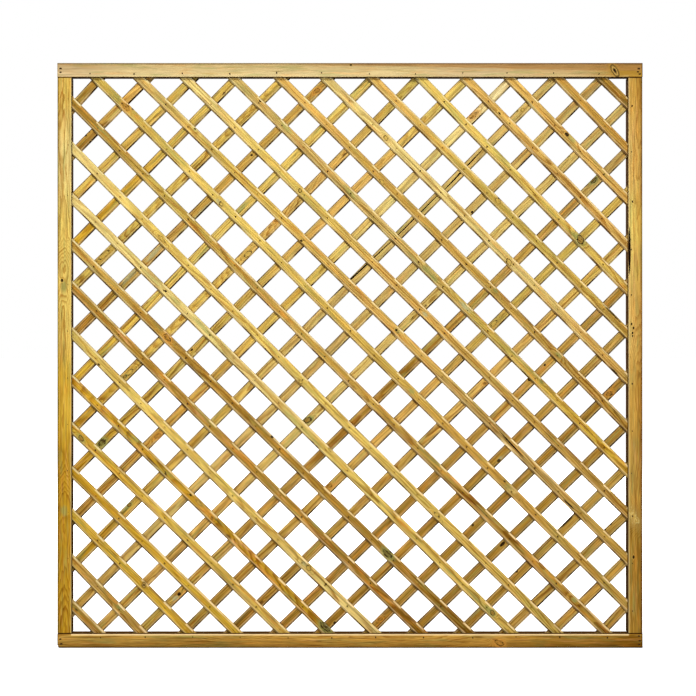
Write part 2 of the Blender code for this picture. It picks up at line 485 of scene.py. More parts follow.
# Slats with more resin (warmth) or more of the treatment's green in them than the others
SLAT_STAINS = {
    "front": {6: (1.0, 0.7), 8: (0.8, 0.4), 5: (0.6, 0.3), 12: (0.6, 0.6)},
    "back": {7: (0.2, 0.8), 14: (0.7, 0.5), 17: (0.7, 0.3)},
}

# Slats cut so that their rings run out in arches: depth of the pith, how far it comes nearer to
# the face for each metre, both in metres, and the strength of the rings
SLAT_FIGURES = {
    "front": {6: (0.070, 0.13, 1.0)},
    "back": {5: (0.050, 0.10, 1.0), 8: (0.060, 0.12, 1.0)},
}

# Cracks: the pixels of their two ends and their width in millimetres
FRONT_CRACKS = (((499, 430.8), (523.6, 457.6), 5.8), ((563.2, 499.2), (574.2, 509.2), 6.6))
BACK_CRACKS = (
    ((483.5, 148.5), (441, 193.5), 6.6),
    ((444, 189), (386, 247), 5.2),
    ((391, 241.5), (330, 299), 6.6),
    ((410, 320), (414, 316), 2.0),
    ((350, 95), (366, 81), 2.8),
)
MEMBER_CRACKS = {"right_stile": (((629.6, 275), (629.6, 226.5), 9.5),)}

# Chips out of the slats' edges: their pixel, length and width in millimetres
FRONT_CHIPS = (
    ((132.5, 109), 8, 4),
    ((313, 441.5), 16, 5),
    ((317, 446.5), 12, 4),
    ((390, 553), 10, 5),
)
BACK_CHIPS = (((472, 212), 7, 4),)

# The corner broken off the bottom rail's left-hand end, its length and width in millimetres
CORNER_CHIP = (9, 8)


def linear(tone):
    """A named tone as linear RGBA."""
    channels = [value / 255 for value in TONES[tone]]
    bright = [((c + 0.055) / 1.055) ** 2.4 if c > 0.04045 else c / 12.92 for c in channels]
    return (*bright, 1.0)


def on_panel(pixel, depth):
    """The point, at that depth in the row frame, that the photograph shows at a pixel."""
    reach = (depth - CAMERA_PLACE[1]) * CAMERA_SENSOR_MM / CAMERA_LENS_MM
    right = pixel[0] / PHOTO_SIZE - 0.5 + CAMERA_SHIFT[0]
    up = 0.5 - pixel[1] / PHOTO_SIZE + CAMERA_SHIFT[1]
    return Vector((CAMERA_PLACE[0] + reach * right, depth, CAMERA_PLACE[2] + reach * up))


def own_axes(turn):
    """Turns row-frame vectors into the axes of a piece turned that way."""
    return Matrix.Rotation(-turn, 3, "Y")


def turn_of(name):
    """A slat's turn about Y, from the largest of its long, narrow side faces."""
    sides = [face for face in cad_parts[name].data.polygons if abs(face.normal.y) < 0.1]
    normal = max(sides, key=lambda face: face.area).normal
    return math.atan2(normal.x, normal.z) if normal.z > 0 else math.atan2(-normal.x, -normal.z)


def box_of(points, turn):
    """Middle, in the row frame, and half sizes, in the piece's own axes, of what holds the points."""
    turned = [own_axes(turn) @ point for point in points]
    low = Vector([min(point[axis] for point in turned) for axis in range(3)])
    high = Vector([max(point[axis] for point in turned) for axis in range(3)])
    return Matrix.Rotation(turn, 3, "Y") @ ((low + high) / 2), (high - low) / 2


# A slat: its middle in the row frame, its turn about Y, its half sizes in its own axes, and its bow
Slat = namedtuple("Slat", "layer number name middle turn half_size bow")


def slat_from_node(layer, number):
    """A slat with its place from the CAD model."""
    name = f"{layer}_slat_{number:02d}"
    turn = turn_of(name)
    middle, half_size = box_of([vertex.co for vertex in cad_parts[name].data.vertices], turn)
    bow = SLAT_BOWS[layer].get(number, 0.0) * MILLIMETRE
    return Slat(layer, number, name, middle.freeze(), turn, half_size.freeze(), bow)


class Nodes:
    """Adds shader nodes to a tree. An input may be a number, a vector, a colour or a socket."""

    def __init__(self, tree):
        self.tree = tree

    def add(self, kind, inputs=None, **settings):
        node = self.tree.nodes.new(kind)
        for name, value in settings.items():
            setattr(node, name, value)
        for key, value in (inputs or {}).items():
            self.feed(node.inputs[key], value)
        return node

    def feed(self, socket, value):
        if isinstance(value, bpy.types.NodeSocket):
            self.tree.links.new(value, socket)
        else:
            socket.default_value = value

    def math(self, operation, first, second=0.0):
        return self.add("ShaderNodeMath", {0: first, 1: second}, operation=operation).outputs[0]

    def times(self, first, second):
        return self.math("MULTIPLY", first, second)

    def plus(self, first, second):
        return self.math("ADD", first, second)

    def minus(self, first, second):
        return self.math("SUBTRACT", first, second)

    def vector(self, operation, first, second=(0.0, 0.0, 0.0)):
        node = self.add("ShaderNodeVectorMath", {0: first, 1: second}, operation=operation)
        return node.outputs["Value" if operation == "LENGTH" else "Vector"]

    def split(self, value):
        return self.add("ShaderNodeSeparateXYZ", {0: value}).outputs

    def join(self, x, y, z):
        return self.add("ShaderNodeCombineXYZ", {0: x, 1: y, 2: z}).outputs[0]

    def noise(self, place, scale, detail=2.0, roughness=0.5):
        """Noise from 0 to 1, with a scale for each axis."""
        stretched = self.vector("MULTIPLY", place, scale)
        inputs = {"Vector": stretched, "Scale": 1.0, "Detail": detail, "Roughness": roughness}
        return self.add("ShaderNodeTexNoise", inputs).outputs

    def jitter(self, place, scale, reach):
        """A vector that wanders to either side by up to half the reach."""
        centred = self.vector("SUBTRACT", self.noise(place, scale)["Color"], (0.5, 0.5, 0.5))
        return self.vector("MULTIPLY", centred, reach)

    def ramp(self, value, low, high, start=0.0, end=1.0):
        """A smooth step from start to end as the value goes from low to high."""
        inputs = {0: value, 1: low, 2: high, 3: start, 4: end}
        node = self.add("ShaderNodeMapRange", inputs, interpolation_type="SMOOTHSTEP")
        return node.outputs[0]

    def count(self, value, places):
        """Number of the place that the value has reached, running on evenly between two places."""
        reach = places[-1] - places[0]
        share = self.math("DIVIDE", self.minus(value, places[0]), reach)
        node = self.add("ShaderNodeValToRGB", {0: share})
        for number, place in enumerate(places[1:-1], start=1):
            stop = node.color_ramp.elements.new((place - places[0]) / reach)
            stop.color = (*[number / (len(places) - 1)] * 3, 1.0)
        return self.times(node.outputs[0], len(places) - 1)

    def mix(self, share, first, second, blend="MIX"):
        node = self.add("ShaderNodeMix", {0: share, 6: first, 7: second}, data_type="RGBA")
        node.blend_type = blend
        return node.outputs[2]

    def shade(self, colour, share, tint):
        """The colour multiplied by a tint, as far as the share says."""
        return self.mix(share, colour, (*tint, 1.0), "MULTIPLY")


def new_material(name):
    """A material with only its Principled shader and output, and the shader."""
    material = bpy.data.materials.new(name)
    material.use_nodes = True
    return material, material.node_tree.nodes["Principled BSDF"]


# Grain. Scales are counts to the metre along, through and across a board, and reaches are metres.
# A step holds the two values of a pattern between which something comes in, and where it has four,
# what that is before and after
WANDER_SCALE = (1.3, 2.0, 2.0)
WANDER_REACH = (0.0, 0.06, 0.07)
RIPPLE_SCALE = (14.0, 70.0, 90.0)
RIPPLE_REACH = (0.0, 0.006, 0.006)
RISE_SPREAD = (3.2, 2.4)
YEAR_SCALE = (1.5, 0.7, 1.0)
YEAR_STEP = (0.35, 0.65, 0.35, 1.0)
LATE_STEP = (0.25, 0.88)
LATE_END = 0.92
LATE_TINT = (0.58, 0.44, 0.29)
LOW_END_CONTRAST = (0.85, 1.45)
BLOTCH_SCALE = (1.6, 8.0, 8.0)
BLOTCH_STEP = (0.3, 0.7, 0.0, 0.5)
BLOTCH_TINT = (0.86, 0.84, 0.80)
TONE_RAGGEDNESS = 0.5
TONE_STEP_SHARES = (0.15, 0.85)
WARM_SCALE = (13.0, 60.0, 120.0)
WARM_STEP = (0.50, 0.72)
ROSE_STEP = (0.52, 0.75)
GREEN_SCALE = (10.0, 50.0, 100.0)
GREEN_STEP = (0.50, 0.72)
GREEN_SHIFT = (7.0, 7.0, 7.0)
STREAK_SCALE = (8.0, 100.0, 190.0)
STREAK_ROUGHNESS = 0.85
STREAK_STEP = (0.33, 0.67)
STREAK_REACH = 0.27
SEAM_SCALE = (1.6, 50.0, 120.0)
SEAM_SHIFT = (3.0, 3.0, 3.0)
SEAM_VALUE = 0.62
SEAM_STEP = (0.006, 0.026)
SEAM_STRENGTH = 0.85
SEAM_TINT = (0.48, 0.38, 0.26)
BROKEN_SCALE = (110.0, 300.0, 330.0)
BROKEN_STEP = (0.42, 0.60)
FIBRE_SCALE = (25.0, 900.0, 900.0)
FIBRE_ROUGHNESS = 0.6
FIBRE_STEP = (0.2, 0.8, 0.88, 1.12)
FINE_DETAIL = 3.0
MOTTLE_SCALE = (70.0, 180.0, 180.0)
FACING_STEP = (0.35, 0.65)
# Painted shade for a member's inner side and the inside of its groove
GROOVE_SHADE_TINT = (0.10, 0.060, 0.026)
# Painted shade along the members' joints and rounded ends
END_SHADE_TINT = (0.18, 0.11, 0.05)
END_SHADE_WIDTH = 0.0034
END_STEP = (0.75, 0.95, 0.0, 0.85)
END_TINT = (0.52, 0.42, 0.32)
BRAD_STAIN_TINT = (0.66, 0.54, 0.42)
BRAD_STAIN_RADIUS = 0.0065
BRAD_STAIN_CORE = 0.001
BRAD_STAIN_STRENGTH = 0.7
BRAD_STAIN_LONGNESS = 1.6
# Painted contact shadow on the back slats beside the front slats that cross them
CROSSING_SHADOW_TINT = (0.34, 0.26, 0.17)
CROSSING_SHADOW_WIDTH = 0.0030
CROSSING_SHADOW_STRENGTH = 0.75
WOOD_ROUGHNESS_STEP = (0.2, 0.8, 0.95, 0.75)
WOOD_SPECULAR = 0.02
FIBRE_HEIGHT = 0.6
LATE_HEIGHT = 0.4
BUMP_STRENGTH = 0.5
BUMP_DISTANCE = 0.0004

# What is drawn by lot for each board, from the lowest to the highest value
PITH_DEPTHS = (0.012, 0.045)
PITH_OFFSETS = (-0.03, 0.03)
SLANTS_THROUGH = (-0.010, 0.010)
SLANTS_ACROSS = (-0.012, 0.012)
PATTERN_SHIFTS = (0, 50)
RING_WIDTHS = (0.0036, 0.0058)
CONTRASTS = (0.75, 1.0)
WARMTHS = (0.20, 0.55)
GREENNESSES = (0.25, 0.60)

# Rings of the members, and the heartwood on the top rail: where along it its edge starts and ends,
# how far across it lies there, how soft it is, and where it fades out past its start
MEMBER_RING_WIDTH = 0.0028
TOP_RAIL_HEART = ((0.0, -0.0125), (-0.9, 0.002))
HEART_BLUR = 0.0015
HEART_STRENGTH = 0.72
HEART_FADE = (-0.05, 0.25)

# Insides of pits, chips and cracks, painted dark as their shade, and the brads' steel
HOLLOW_MOTTLE_SCALE = (300.0, 900.0, 900.0)
HOLLOW_ROUGHNESS_STEP = (0.2, 0.8, 0.7, 0.9)
RUST_SCALE = (900.0, 900.0, 900.0)
RUST_COLOURS = ((0.040, 0.026, 0.015, 1), (0.060, 0.024, 0.010, 1))
RUST_STEP = (0.3, 0.6)
RUST_METALLIC_STEP = (0.3, 0.6, 0.6, 0.1)
RUST_ROUGHNESS_STEP = (0.3, 0.7, 0.5, 0.85)
STEEL_SPECULAR = 0.2

# How a long edge looks: the width, tint and strength of its dark rim of painted shade, and the width,
# tone and strength of the painted highlight inside it
Rim = namedtuple("Rim", "dark_width tint dark pale_width tone pale")
RIM_PATCH_SCALE = (11.0, 1.0, 1.0)
HIGHLIGHT_PATCH_STEP = (0.35, 0.6)
EDGE_SHADE_PATCH_STEP = (0.4, 0.62)
PALE_BLUR_SHARE = 1 / 3
DARK_BLUR_SHARES = (0.7, 1.3)
BEVEL_SCALE = (1.4, 1.0, 1.0)
BEVEL_STEP = (0.50, 0.62, 0.12, 0.85)
MEMBER_EVENNESS = 0.85
SLAT_EVENNESS = 0.45
HIGHLIGHT_FADE = 0.0035
# On a slat the first rim is its upper edge and the second its lower one: painted highlight and shade
# where the lamps light and shade the rounded edges
SLAT_RIMS = {
    "front": (
        Rim(0.0012, (0.45, 0.37, 0.24), 0.6, 0.0040, "pale", 0.95),
        Rim(0.0044, (0.13, 0.09, 0.04), 0.95, 0.0026, "pale", 0.45),
    ),
    "back": (
        Rim(0.0026, (0.13, 0.09, 0.04), 0.9, 0.0026, "pale", 0.25),
        Rim(0.0045, (0.06, 0.04, 0.02), 1.0, 0.0028, "pale", 0.35),
    ),
}
# On a member the first rim is its inner side, with a painted highlight, and the second its outer
# side, with painted shade along the rounded edge that is partly staining as well
MEMBER_RIMS = {
    "bottom_rail": (
        Rim(0.0, (1.0, 1.0, 1.0), 0.0, 0.0050, "glow", 0.95),
        Rim(0.0044, (0.28, 0.29, 0.24), 1.0, 0.0020, "pale", 0.0),
    ),
    "top_rail": (
        Rim(0.0014, (0.55, 0.48, 0.40), 0.8, 0.0040, "shell", 0.3),
        Rim(0.0050, (0.52, 0.49, 0.44), 1.0, 0.0020, "pale", 0.0),
    ),
    "left_stile": (
        Rim(0.0, (1.0, 1.0, 1.0), 0.0, 0.0034, "pale", 0.35),
        Rim(0.0042, (0.38, 0.40, 0.38), 1.0, 0.0020, "pale", 0.0),
    ),
    "right_stile": (
        Rim(0.0, (1.0, 1.0, 1.0), 0.0, 0.0036, "pale", 0.50),
        Rim(0.0060, (0.42, 0.38, 0.36), 1.0, 0.0020, "pale", 0.0),
    ),
}

# How a mark looks: the tones of its core, its rings and what lies round it, how dark its outline
# is, how strong the tone round it is, how far it lifts the rings, how unbroken it is, how far it
# leans along the grain, and how many rings it has
MarkLook = namedtuple(
    "MarkLook", "core ring halo outline strength rise solid lean turns", defaults=(0.0, 2.6)
)
MARK_LOOKS = {
    "knot": MarkLook("knot", "umber", "orange", 0.95, 0.60, 0.012, 0.30, 0.4),
    "dead": MarkLook("knot", "umber", "moss", 1.0, 0.50, 0.012, 0.60, 0.3),
    "eye": MarkLook("umber", "straw", "brown", 0.95, 0.45, 0.018, 0.35, 0.3),
    "swirl": MarkLook("cream", "brown", "tan", 0.20, 0.30, 0.022, 0.10, -0.8),
    "ringed": MarkLook("pit", "clay", "umber", 0.75, 0.60, 0.020, 1.0, 0.42, 1.0),
    "pin": MarkLook("pit", "pit", "brown", 1.0, 0.45, 0.003, 0.90),
    "rot": MarkLook("bark", "pit", "moss", 0.8, 0.7, 0.006, 0.35),
    "green": MarkLook(None, None, "moss", 0.0, 0.62, 0.006, 1.0),
    "ashen": MarkLook(None, None, "ash", 0.0, 0.70, 0.006, 1.0),
    "warm": MarkLook(None, None, "orange", 0.0, 0.60, 0.003, 1.0),
    "shade": MarkLook(None, None, "umber", 0.0, 0.70, 0.006, 1.0),
    "lens": MarkLook(None, None, "rust", 0.0, 0.80, 0.003, 1.0),
    "dark": MarkLook(None, None, "bark", 0.0, 0.85, 0.003, 1.0),
    # A line is a dark line along an edge: mostly painted shadow of a gap beside it, in one place a
    # dark wane edge
    "line": MarkLook(None, None, "pit", 0.0, 0.95, 0.001, 1.0),
    "sliver": MarkLook(None, None, "glow", 0.0, 0.85, 0.0, 1.0),
}

# Where a mark's parts come in or fade, in its half sizes from its middle
STAIN_FADE = (0.35, 1.15)
HALO_FADE = (0.9, 2.3)
CORE_FADE = (0.75, 1.1)
OUTLINE_PLACE = 0.9
OUTLINE_FADE = (0.05, 0.30)
MARK_RING_STEP = (0.2, 0.8)
STAIN_RAGGEDNESS = 0.8
KNOT_RAGGEDNESS = 1.7
SOLID_SMOOTHNESS = 1.3

# A knot or stain, and a stretch of nested arches, in a board's own axes, in metres
Mark = namedtuple("Mark", "kind along across long wide")
Arches = namedtuple("Arches", "along long rise")


def distance_from(nodes, place, mark, stretch=(1.0, 1.0)):
    """1 on the edge of the mark's ellipse, stretched along and across the grain, 0 in its middle."""
    away = nodes.vector("SUBTRACT", place, (mark.along, 0.0, mark.across))
    lean = MARK_LOOKS[mark.kind].lean
    if lean:
        along, _, across = nodes.split(away)
        along = nodes.plus(along, nodes.times(across, lean))
        away = nodes.join(along, 0.0, across)
    radii = (mark.long / 2 * stretch[0], mark.wide / 2 * stretch[1])
    return nodes.vector("LENGTH", nodes.vector("MULTIPLY", away, (1 / radii[0], 0.0, 1 / radii[1])))


def ring_field(board):
    """How many years from the pith each place is."""
    nodes = board.nodes
    wander = nodes.jitter(board.shifted, WANDER_SCALE, WANDER_REACH)
    ripple = nodes.jitter(board.shifted, RIPPLE_SCALE, RIPPLE_REACH)
    slant = nodes.vector("MULTIPLY", nodes.join(board.along, board.along, board.along), board.slant)
    moved = nodes.vector("ADD", nodes.vector("ADD", board.place, wander), slant)
    moved = nodes.vector("ADD", moved, ripple)
    from_pith = nodes.vector("SUBTRACT", moved, board.pith)
    radius = nodes.vector("LENGTH", nodes.vector("MULTIPLY", from_pith, (0.0, 1.0, 1.0)))
    for mark in board.marks:
        reach = distance_from(nodes, board.place, mark, RISE_SPREAD)
        rise = nodes.ramp(reach, 0.0, 1.0, MARK_LOOKS[mark.kind].rise, 0.0)
        radius = nodes.plus(radius, rise)
    for arches in board.arches:
        way = math.copysign(1.0, arches.long)
        top = way * arches.along
        past = nodes.times(board.along, way)
        rise = nodes.ramp(past, top, top + abs(arches.long), arches.rise, 0.0)
        radius = nodes.plus(radius, rise)
    return nodes.math("DIVIDE", radius, board.ring_width)


def late_wood(board, years):
    """How much of the dark summer wood of each ring shows, with strong and weak years."""
    nodes = board.nodes
    ring = nodes.math("FRACT", years)
    late = nodes.minus(nodes.ramp(ring, *LATE_STEP), nodes.ramp(ring, LATE_END, 1.0))
    year = nodes.vector("ADD", nodes.join(board.along, years, 0.0), board.shift)
    strength = nodes.noise(year, YEAR_SCALE)["Fac"]
    return nodes.times(late, nodes.ramp(strength, *YEAR_STEP))


def ground_tone(board):
    """The board's tones one after another along it, with ragged changes between them."""
    nodes = board.nodes
    half_length = board.half_size[0]
    blotch = nodes.noise(board.shifted, BLOTCH_SCALE, FINE_DETAIL)["Fac"]
    ragged = nodes.times(nodes.minus(blotch, 0.5), TONE_RAGGEDNESS)
    colour = linear(board.tones[0])
    if len(board.tones) == 1:
        return nodes.shade(colour, nodes.ramp(blotch, *BLOTCH_STEP), BLOTCH_TINT)
    stretch = 2 * half_length / (len(board.tones) - 1)
    place = nodes.plus(board.along, nodes.times(ragged, stretch))
    for number, tone in enumerate(board.tones[1:]):
        start = -half_length + number * stretch
        step = [start + part * stretch for part in TONE_STEP_SHARES]
        share = nodes.ramp(place, *step)
        colour = nodes.mix(share, colour, linear(tone))
    return colour


def paint_mark(board, colour, mark):
    """A knot with broken rings and outline in a halo, or a stain with ragged edges."""
    nodes = board.nodes
    look = MARK_LOOKS[mark.kind]
    reach = distance_from(nodes, board.place, mark)
    raggedness = KNOT_RAGGEDNESS - SOLID_SMOOTHNESS * look.solid if look.core else STAIN_RAGGEDNESS
    ragged = nodes.plus(reach, nodes.times(board.mottle, raggedness))
    if look.core is None:
        share = nodes.ramp(ragged, *STAIN_FADE, look.strength, 0.0)
        return nodes.mix(share, colour, linear(look.halo))
    broken = nodes.noise(board.shifted, BROKEN_SCALE)["Fac"]
    share = nodes.ramp(ragged, *HALO_FADE, look.strength, 0.0)
    colour = nodes.mix(share, colour, linear(look.halo))
    inner = nodes.math("FRACT", nodes.times(ragged, look.turns))
    core = nodes.mix(nodes.ramp(inner, *MARK_RING_STEP), linear(look.core), linear(look.ring))
    solid = nodes.ramp(broken, *BROKEN_STEP, look.solid, 1.0)
    share = nodes.times(nodes.ramp(ragged, *CORE_FADE, 1.0, 0.0), solid)
    colour = nodes.mix(share, colour, core)
    from_edge = nodes.math("ABSOLUTE", nodes.minus(ragged, OUTLINE_PLACE))
    share = nodes.times(nodes.ramp(from_edge, *OUTLINE_FADE, look.outline, 0.0), solid)
    return nodes.mix(share, colour, linear("pit"))


def stains(board, colour):
    """Warm resin and the treatment's green, in long patches."""
    nodes = board.nodes
    warm = nodes.noise(board.shifted, WARM_SCALE)
    share = nodes.ramp(warm["Fac"], *WARM_STEP, 0.0, board.warmth)
    colour = nodes.mix(share, colour, linear("orange"))
    rose = nodes.add("ShaderNodeSeparateColor", {0: warm["Color"]}).outputs[2]
    share = nodes.ramp(rose, *ROSE_STEP, 0.0, board.warmth)
    colour = nodes.mix(share, colour, linear("rose"))
    elsewhere = nodes.vector("ADD", board.shifted, GREEN_SHIFT)
    green = nodes.noise(elsewhere, GREEN_SCALE)["Fac"]
    share = nodes.ramp(green, *GREEN_STEP, 0.0, board.greenness)
    return nodes.mix(share, colour, linear("moss"))


def streaks(board, colour, fibres):
    """Light and dark streaks, thin dark seams and fibres along the grain."""
    nodes = board.nodes
    streak = nodes.noise(board.shifted, STREAK_SCALE, FINE_DETAIL, STREAK_ROUGHNESS)["Fac"]
    reach = STREAK_REACH * board.streakiness
    fine = nodes.ramp(fibres, *FIBRE_STEP)
    light = nodes.times(fine, nodes.ramp(streak, *STREAK_STEP, 1 - reach, 1 + reach))
    grey = nodes.add("ShaderNodeCombineColor", {0: light, 1: light, 2: light}).outputs[0]
    colour = nodes.mix(1.0, colour, grey, "MULTIPLY")
    elsewhere = nodes.vector("ADD", board.shifted, SEAM_SHIFT)
    seam = nodes.noise(elsewhere, SEAM_SCALE, 1.0)["Fac"]
    from_seam = nodes.math("ABSOLUTE", nodes.minus(seam, SEAM_VALUE))
    strength = SEAM_STRENGTH * board.streakiness
    return nodes.shade(colour, nodes.ramp(from_seam, *SEAM_STEP, strength, 0.0), SEAM_TINT)


def lowness(board):
    """0 at a slat's upper end and 1 at its lower end."""
    nodes = board.nodes
    low_way = 1 if board.outward == FRONT else -1
    share = nodes.math("DIVIDE", board.along, 2 * board.half_size[0] * low_way)
    return nodes.plus(share, 0.5)


def edge_highlight(board, row):
    """Where an upper edge gets its painted highlight: between a rail's stiles, or at a front slat's
    crossings.
    """
    nodes = board.nodes
    if board.clear_half:
        away = nodes.math("ABSOLUTE", board.along)
        return nodes.ramp(away, board.clear_half, board.clear_half + HIGHLIGHT_FADE, 1.0, 0.0)
    if board.outward == BACK:
        return 1.0
    away = nodes.math("ABSOLUTE", off_crossing(board))
    between = nodes.ramp(nodes.noise(row, BEVEL_SCALE)["Fac"], *BEVEL_STEP)
    return nodes.ramp(away, SLAT_HALF_WIDTH, SLAT_HALF_WIDTH + HIGHLIGHT_FADE, 1.0, between)


def rims(board, colour):
    """The two long edges, each with painted shade at its very edge and a painted highlight just
    inside.
    """
    nodes = board.nodes
    half_width = board.half_size[2]
    for side, rim in zip((1, -1), board.rims):
        from_edge = nodes.minus(half_width, nodes.times(board.across, side))
        row = nodes.vector("ADD", board.shifted, (0.0, 0.0, side * half_width))
        row = nodes.vector("MULTIPLY", row, (1.0, 0.0, 0.0))
        patchy = nodes.noise(row, RIM_PATCH_SCALE)["Fac"]
        inner = rim.dark_width + rim.pale_width
        blur = rim.pale_width * PALE_BLUR_SHARE
        pale = nodes.ramp(from_edge, inner - blur, inner + blur, rim.pale, 0.0)
        pale = nodes.times(pale, nodes.ramp(patchy, *HIGHLIGHT_PATCH_STEP, board.evenness, 1.0))
        if side == 1:
            pale = nodes.times(pale, edge_highlight(board, row))
        tone = linear(rim.tone)
        # The painted highlight is brighter towards a slat's lower end, where the lamps light it less
        if board.outward:
            tone = nodes.mix(lowness(board), tone, linear("glow"))
        colour = nodes.mix(pale, colour, tone)
        if rim.dark:
            low, high = (rim.dark_width * share for share in DARK_BLUR_SHARES)
            dark = nodes.ramp(from_edge, low, high, rim.dark, 0.0)
            dark = nodes.times(dark, nodes.ramp(patchy, *EDGE_SHADE_PATCH_STEP, 1.0, board.evenness))
            colour = nodes.shade(colour, dark, rim.tint)
    return colour


def groove_shade(board, colour):
    """Painted shade on a member's inner side and inside its groove, which the lamps barely reach."""
    nodes = board.nodes
    normal = nodes.add("ShaderNodeTexCoord").outputs["Normal"]
    inward = nodes.ramp(nodes.split(normal)["Z"], *FACING_STEP)
    off_middle = nodes.math("ABSOLUTE", nodes.split(board.place)["Y"])
    between = nodes.ramp(off_middle, GROOVE_HALF + FIT_GAP, GROOVE_HALF + 2 * FIT_GAP, 1.0, 0.0)
    floor = board.half_size[2] - GROOVE_DEPTH
    past_floor = nodes.ramp(board.across, floor - 2 * FIT_GAP, floor - FIT_GAP)
    inside = nodes.times(between, past_floor)
    return nodes.shade(colour, nodes.math("MAXIMUM", inward, inside), GROOVE_SHADE_TINT)


def end_grain(board, colour):
    """The darker ends of a board."""
    nodes = board.nodes
    normal = nodes.add("ShaderNodeTexCoord").outputs["Normal"]
    facing = nodes.math("ABSOLUTE", nodes.split(normal)["X"])
    return nodes.shade(colour, nodes.ramp(facing, *END_STEP), END_TINT)


def end_rims(board, colour):
    """Painted shade in a line at a member's two ends, along its joints and rounded ends."""
    nodes = board.nodes
    start = board.half_size[0] - END_SHADE_WIDTH
    for way, strength in zip((-1, 1), board.end_rims):
        past = nodes.times(board.along, way)
        dark = nodes.ramp(past, start, start + END_SHADE_WIDTH / 2, 0.0, strength)
        colour = nodes.shade(colour, dark, END_SHADE_TINT)
    return colour


def grade(board, colour):
    """A member's change of tone from its inner to its outer side."""
    nodes = board.nodes
    inner, outer = board.grade
    half_width = board.half_size[2]
    share = nodes.ramp(board.across, -half_width, half_width)
    return nodes.mix(1.0, colour, nodes.mix(share, (*outer, 1.0), (*inner, 1.0)), "MULTIPLY")


def heart_band(board, colour):
    """A band of darker heartwood along the outer edge, widening towards one end."""
    nodes = board.nodes
    start, end = board.heart
    width = nodes.ramp(board.along, end[0], start[0], end[1], start[1])
    inside = nodes.minus(board.across, width)
    share = nodes.ramp(inside, -HEART_BLUR, HEART_BLUR, HEART_STRENGTH, 0.0)
    fade = nodes.ramp(board.along, *(start[0] + past for past in HEART_FADE), 1.0, 0.0)
    return nodes.mix(nodes.times(share, fade), colour, linear("heart"))


def off_crossing(board):
    """How far along the slat each place is from the middle of the nearest crossing."""
    nodes = board.nodes
    places = board.crossings
    pitch = (places[-1] - places[0]) / (len(places) - 1)
    counted = nodes.count(board.along, [places[0] - pitch, *places, places[-1] + pitch])
    turns = nodes.plus(counted, 0.5)
    return nodes.times(nodes.minus(nodes.math("FRACT", turns), 0.5), pitch)


def brad_stains(board, colour):
    """Rusty stains round the brads, in the middle of each crossing."""
    nodes = board.nodes
    across = nodes.times(board.across, BRAD_STAIN_LONGNESS)
    away = nodes.vector("LENGTH", nodes.join(off_crossing(board), 0.0, across))
    ragged = nodes.plus(away, nodes.times(board.mottle, BRAD_STAIN_RADIUS))
    share = nodes.ramp(ragged, BRAD_STAIN_CORE, BRAD_STAIN_RADIUS, BRAD_STAIN_STRENGTH, 0.0)
    return nodes.shade(colour, share, BRAD_STAIN_TINT)


def crossing_shadow(board, colour):
    """Painted contact shadow on a back slat beside each front slat that crosses it."""
    nodes = board.nodes
    away = nodes.math("ABSOLUTE", off_crossing(board))
    ragged = nodes.plus(away, nodes.times(board.mottle, CROSSING_SHADOW_WIDTH))
    end = SLAT_HALF_WIDTH + CROSSING_SHADOW_WIDTH
    share = nodes.ramp(ragged, SLAT_HALF_WIDTH, end, CROSSING_SHADOW_STRENGTH, 0.0)
    half_depth = board.half_size[1]
    meeting = nodes.ramp(nodes.split(board.place)["Y"], -half_depth / 2, half_depth / 2, 1.0, 0.0)
    return nodes.shade(colour, nodes.times(share, meeting), CROSSING_SHADOW_TINT)


def on_edges(mark):
    """Whether a mark shows over a board's painted edge highlight and shade too, as a knot and a dark
    line do.
    """
    return mark.kind in ("line", "sliver") or MARK_LOOKS[mark.kind].core is not None


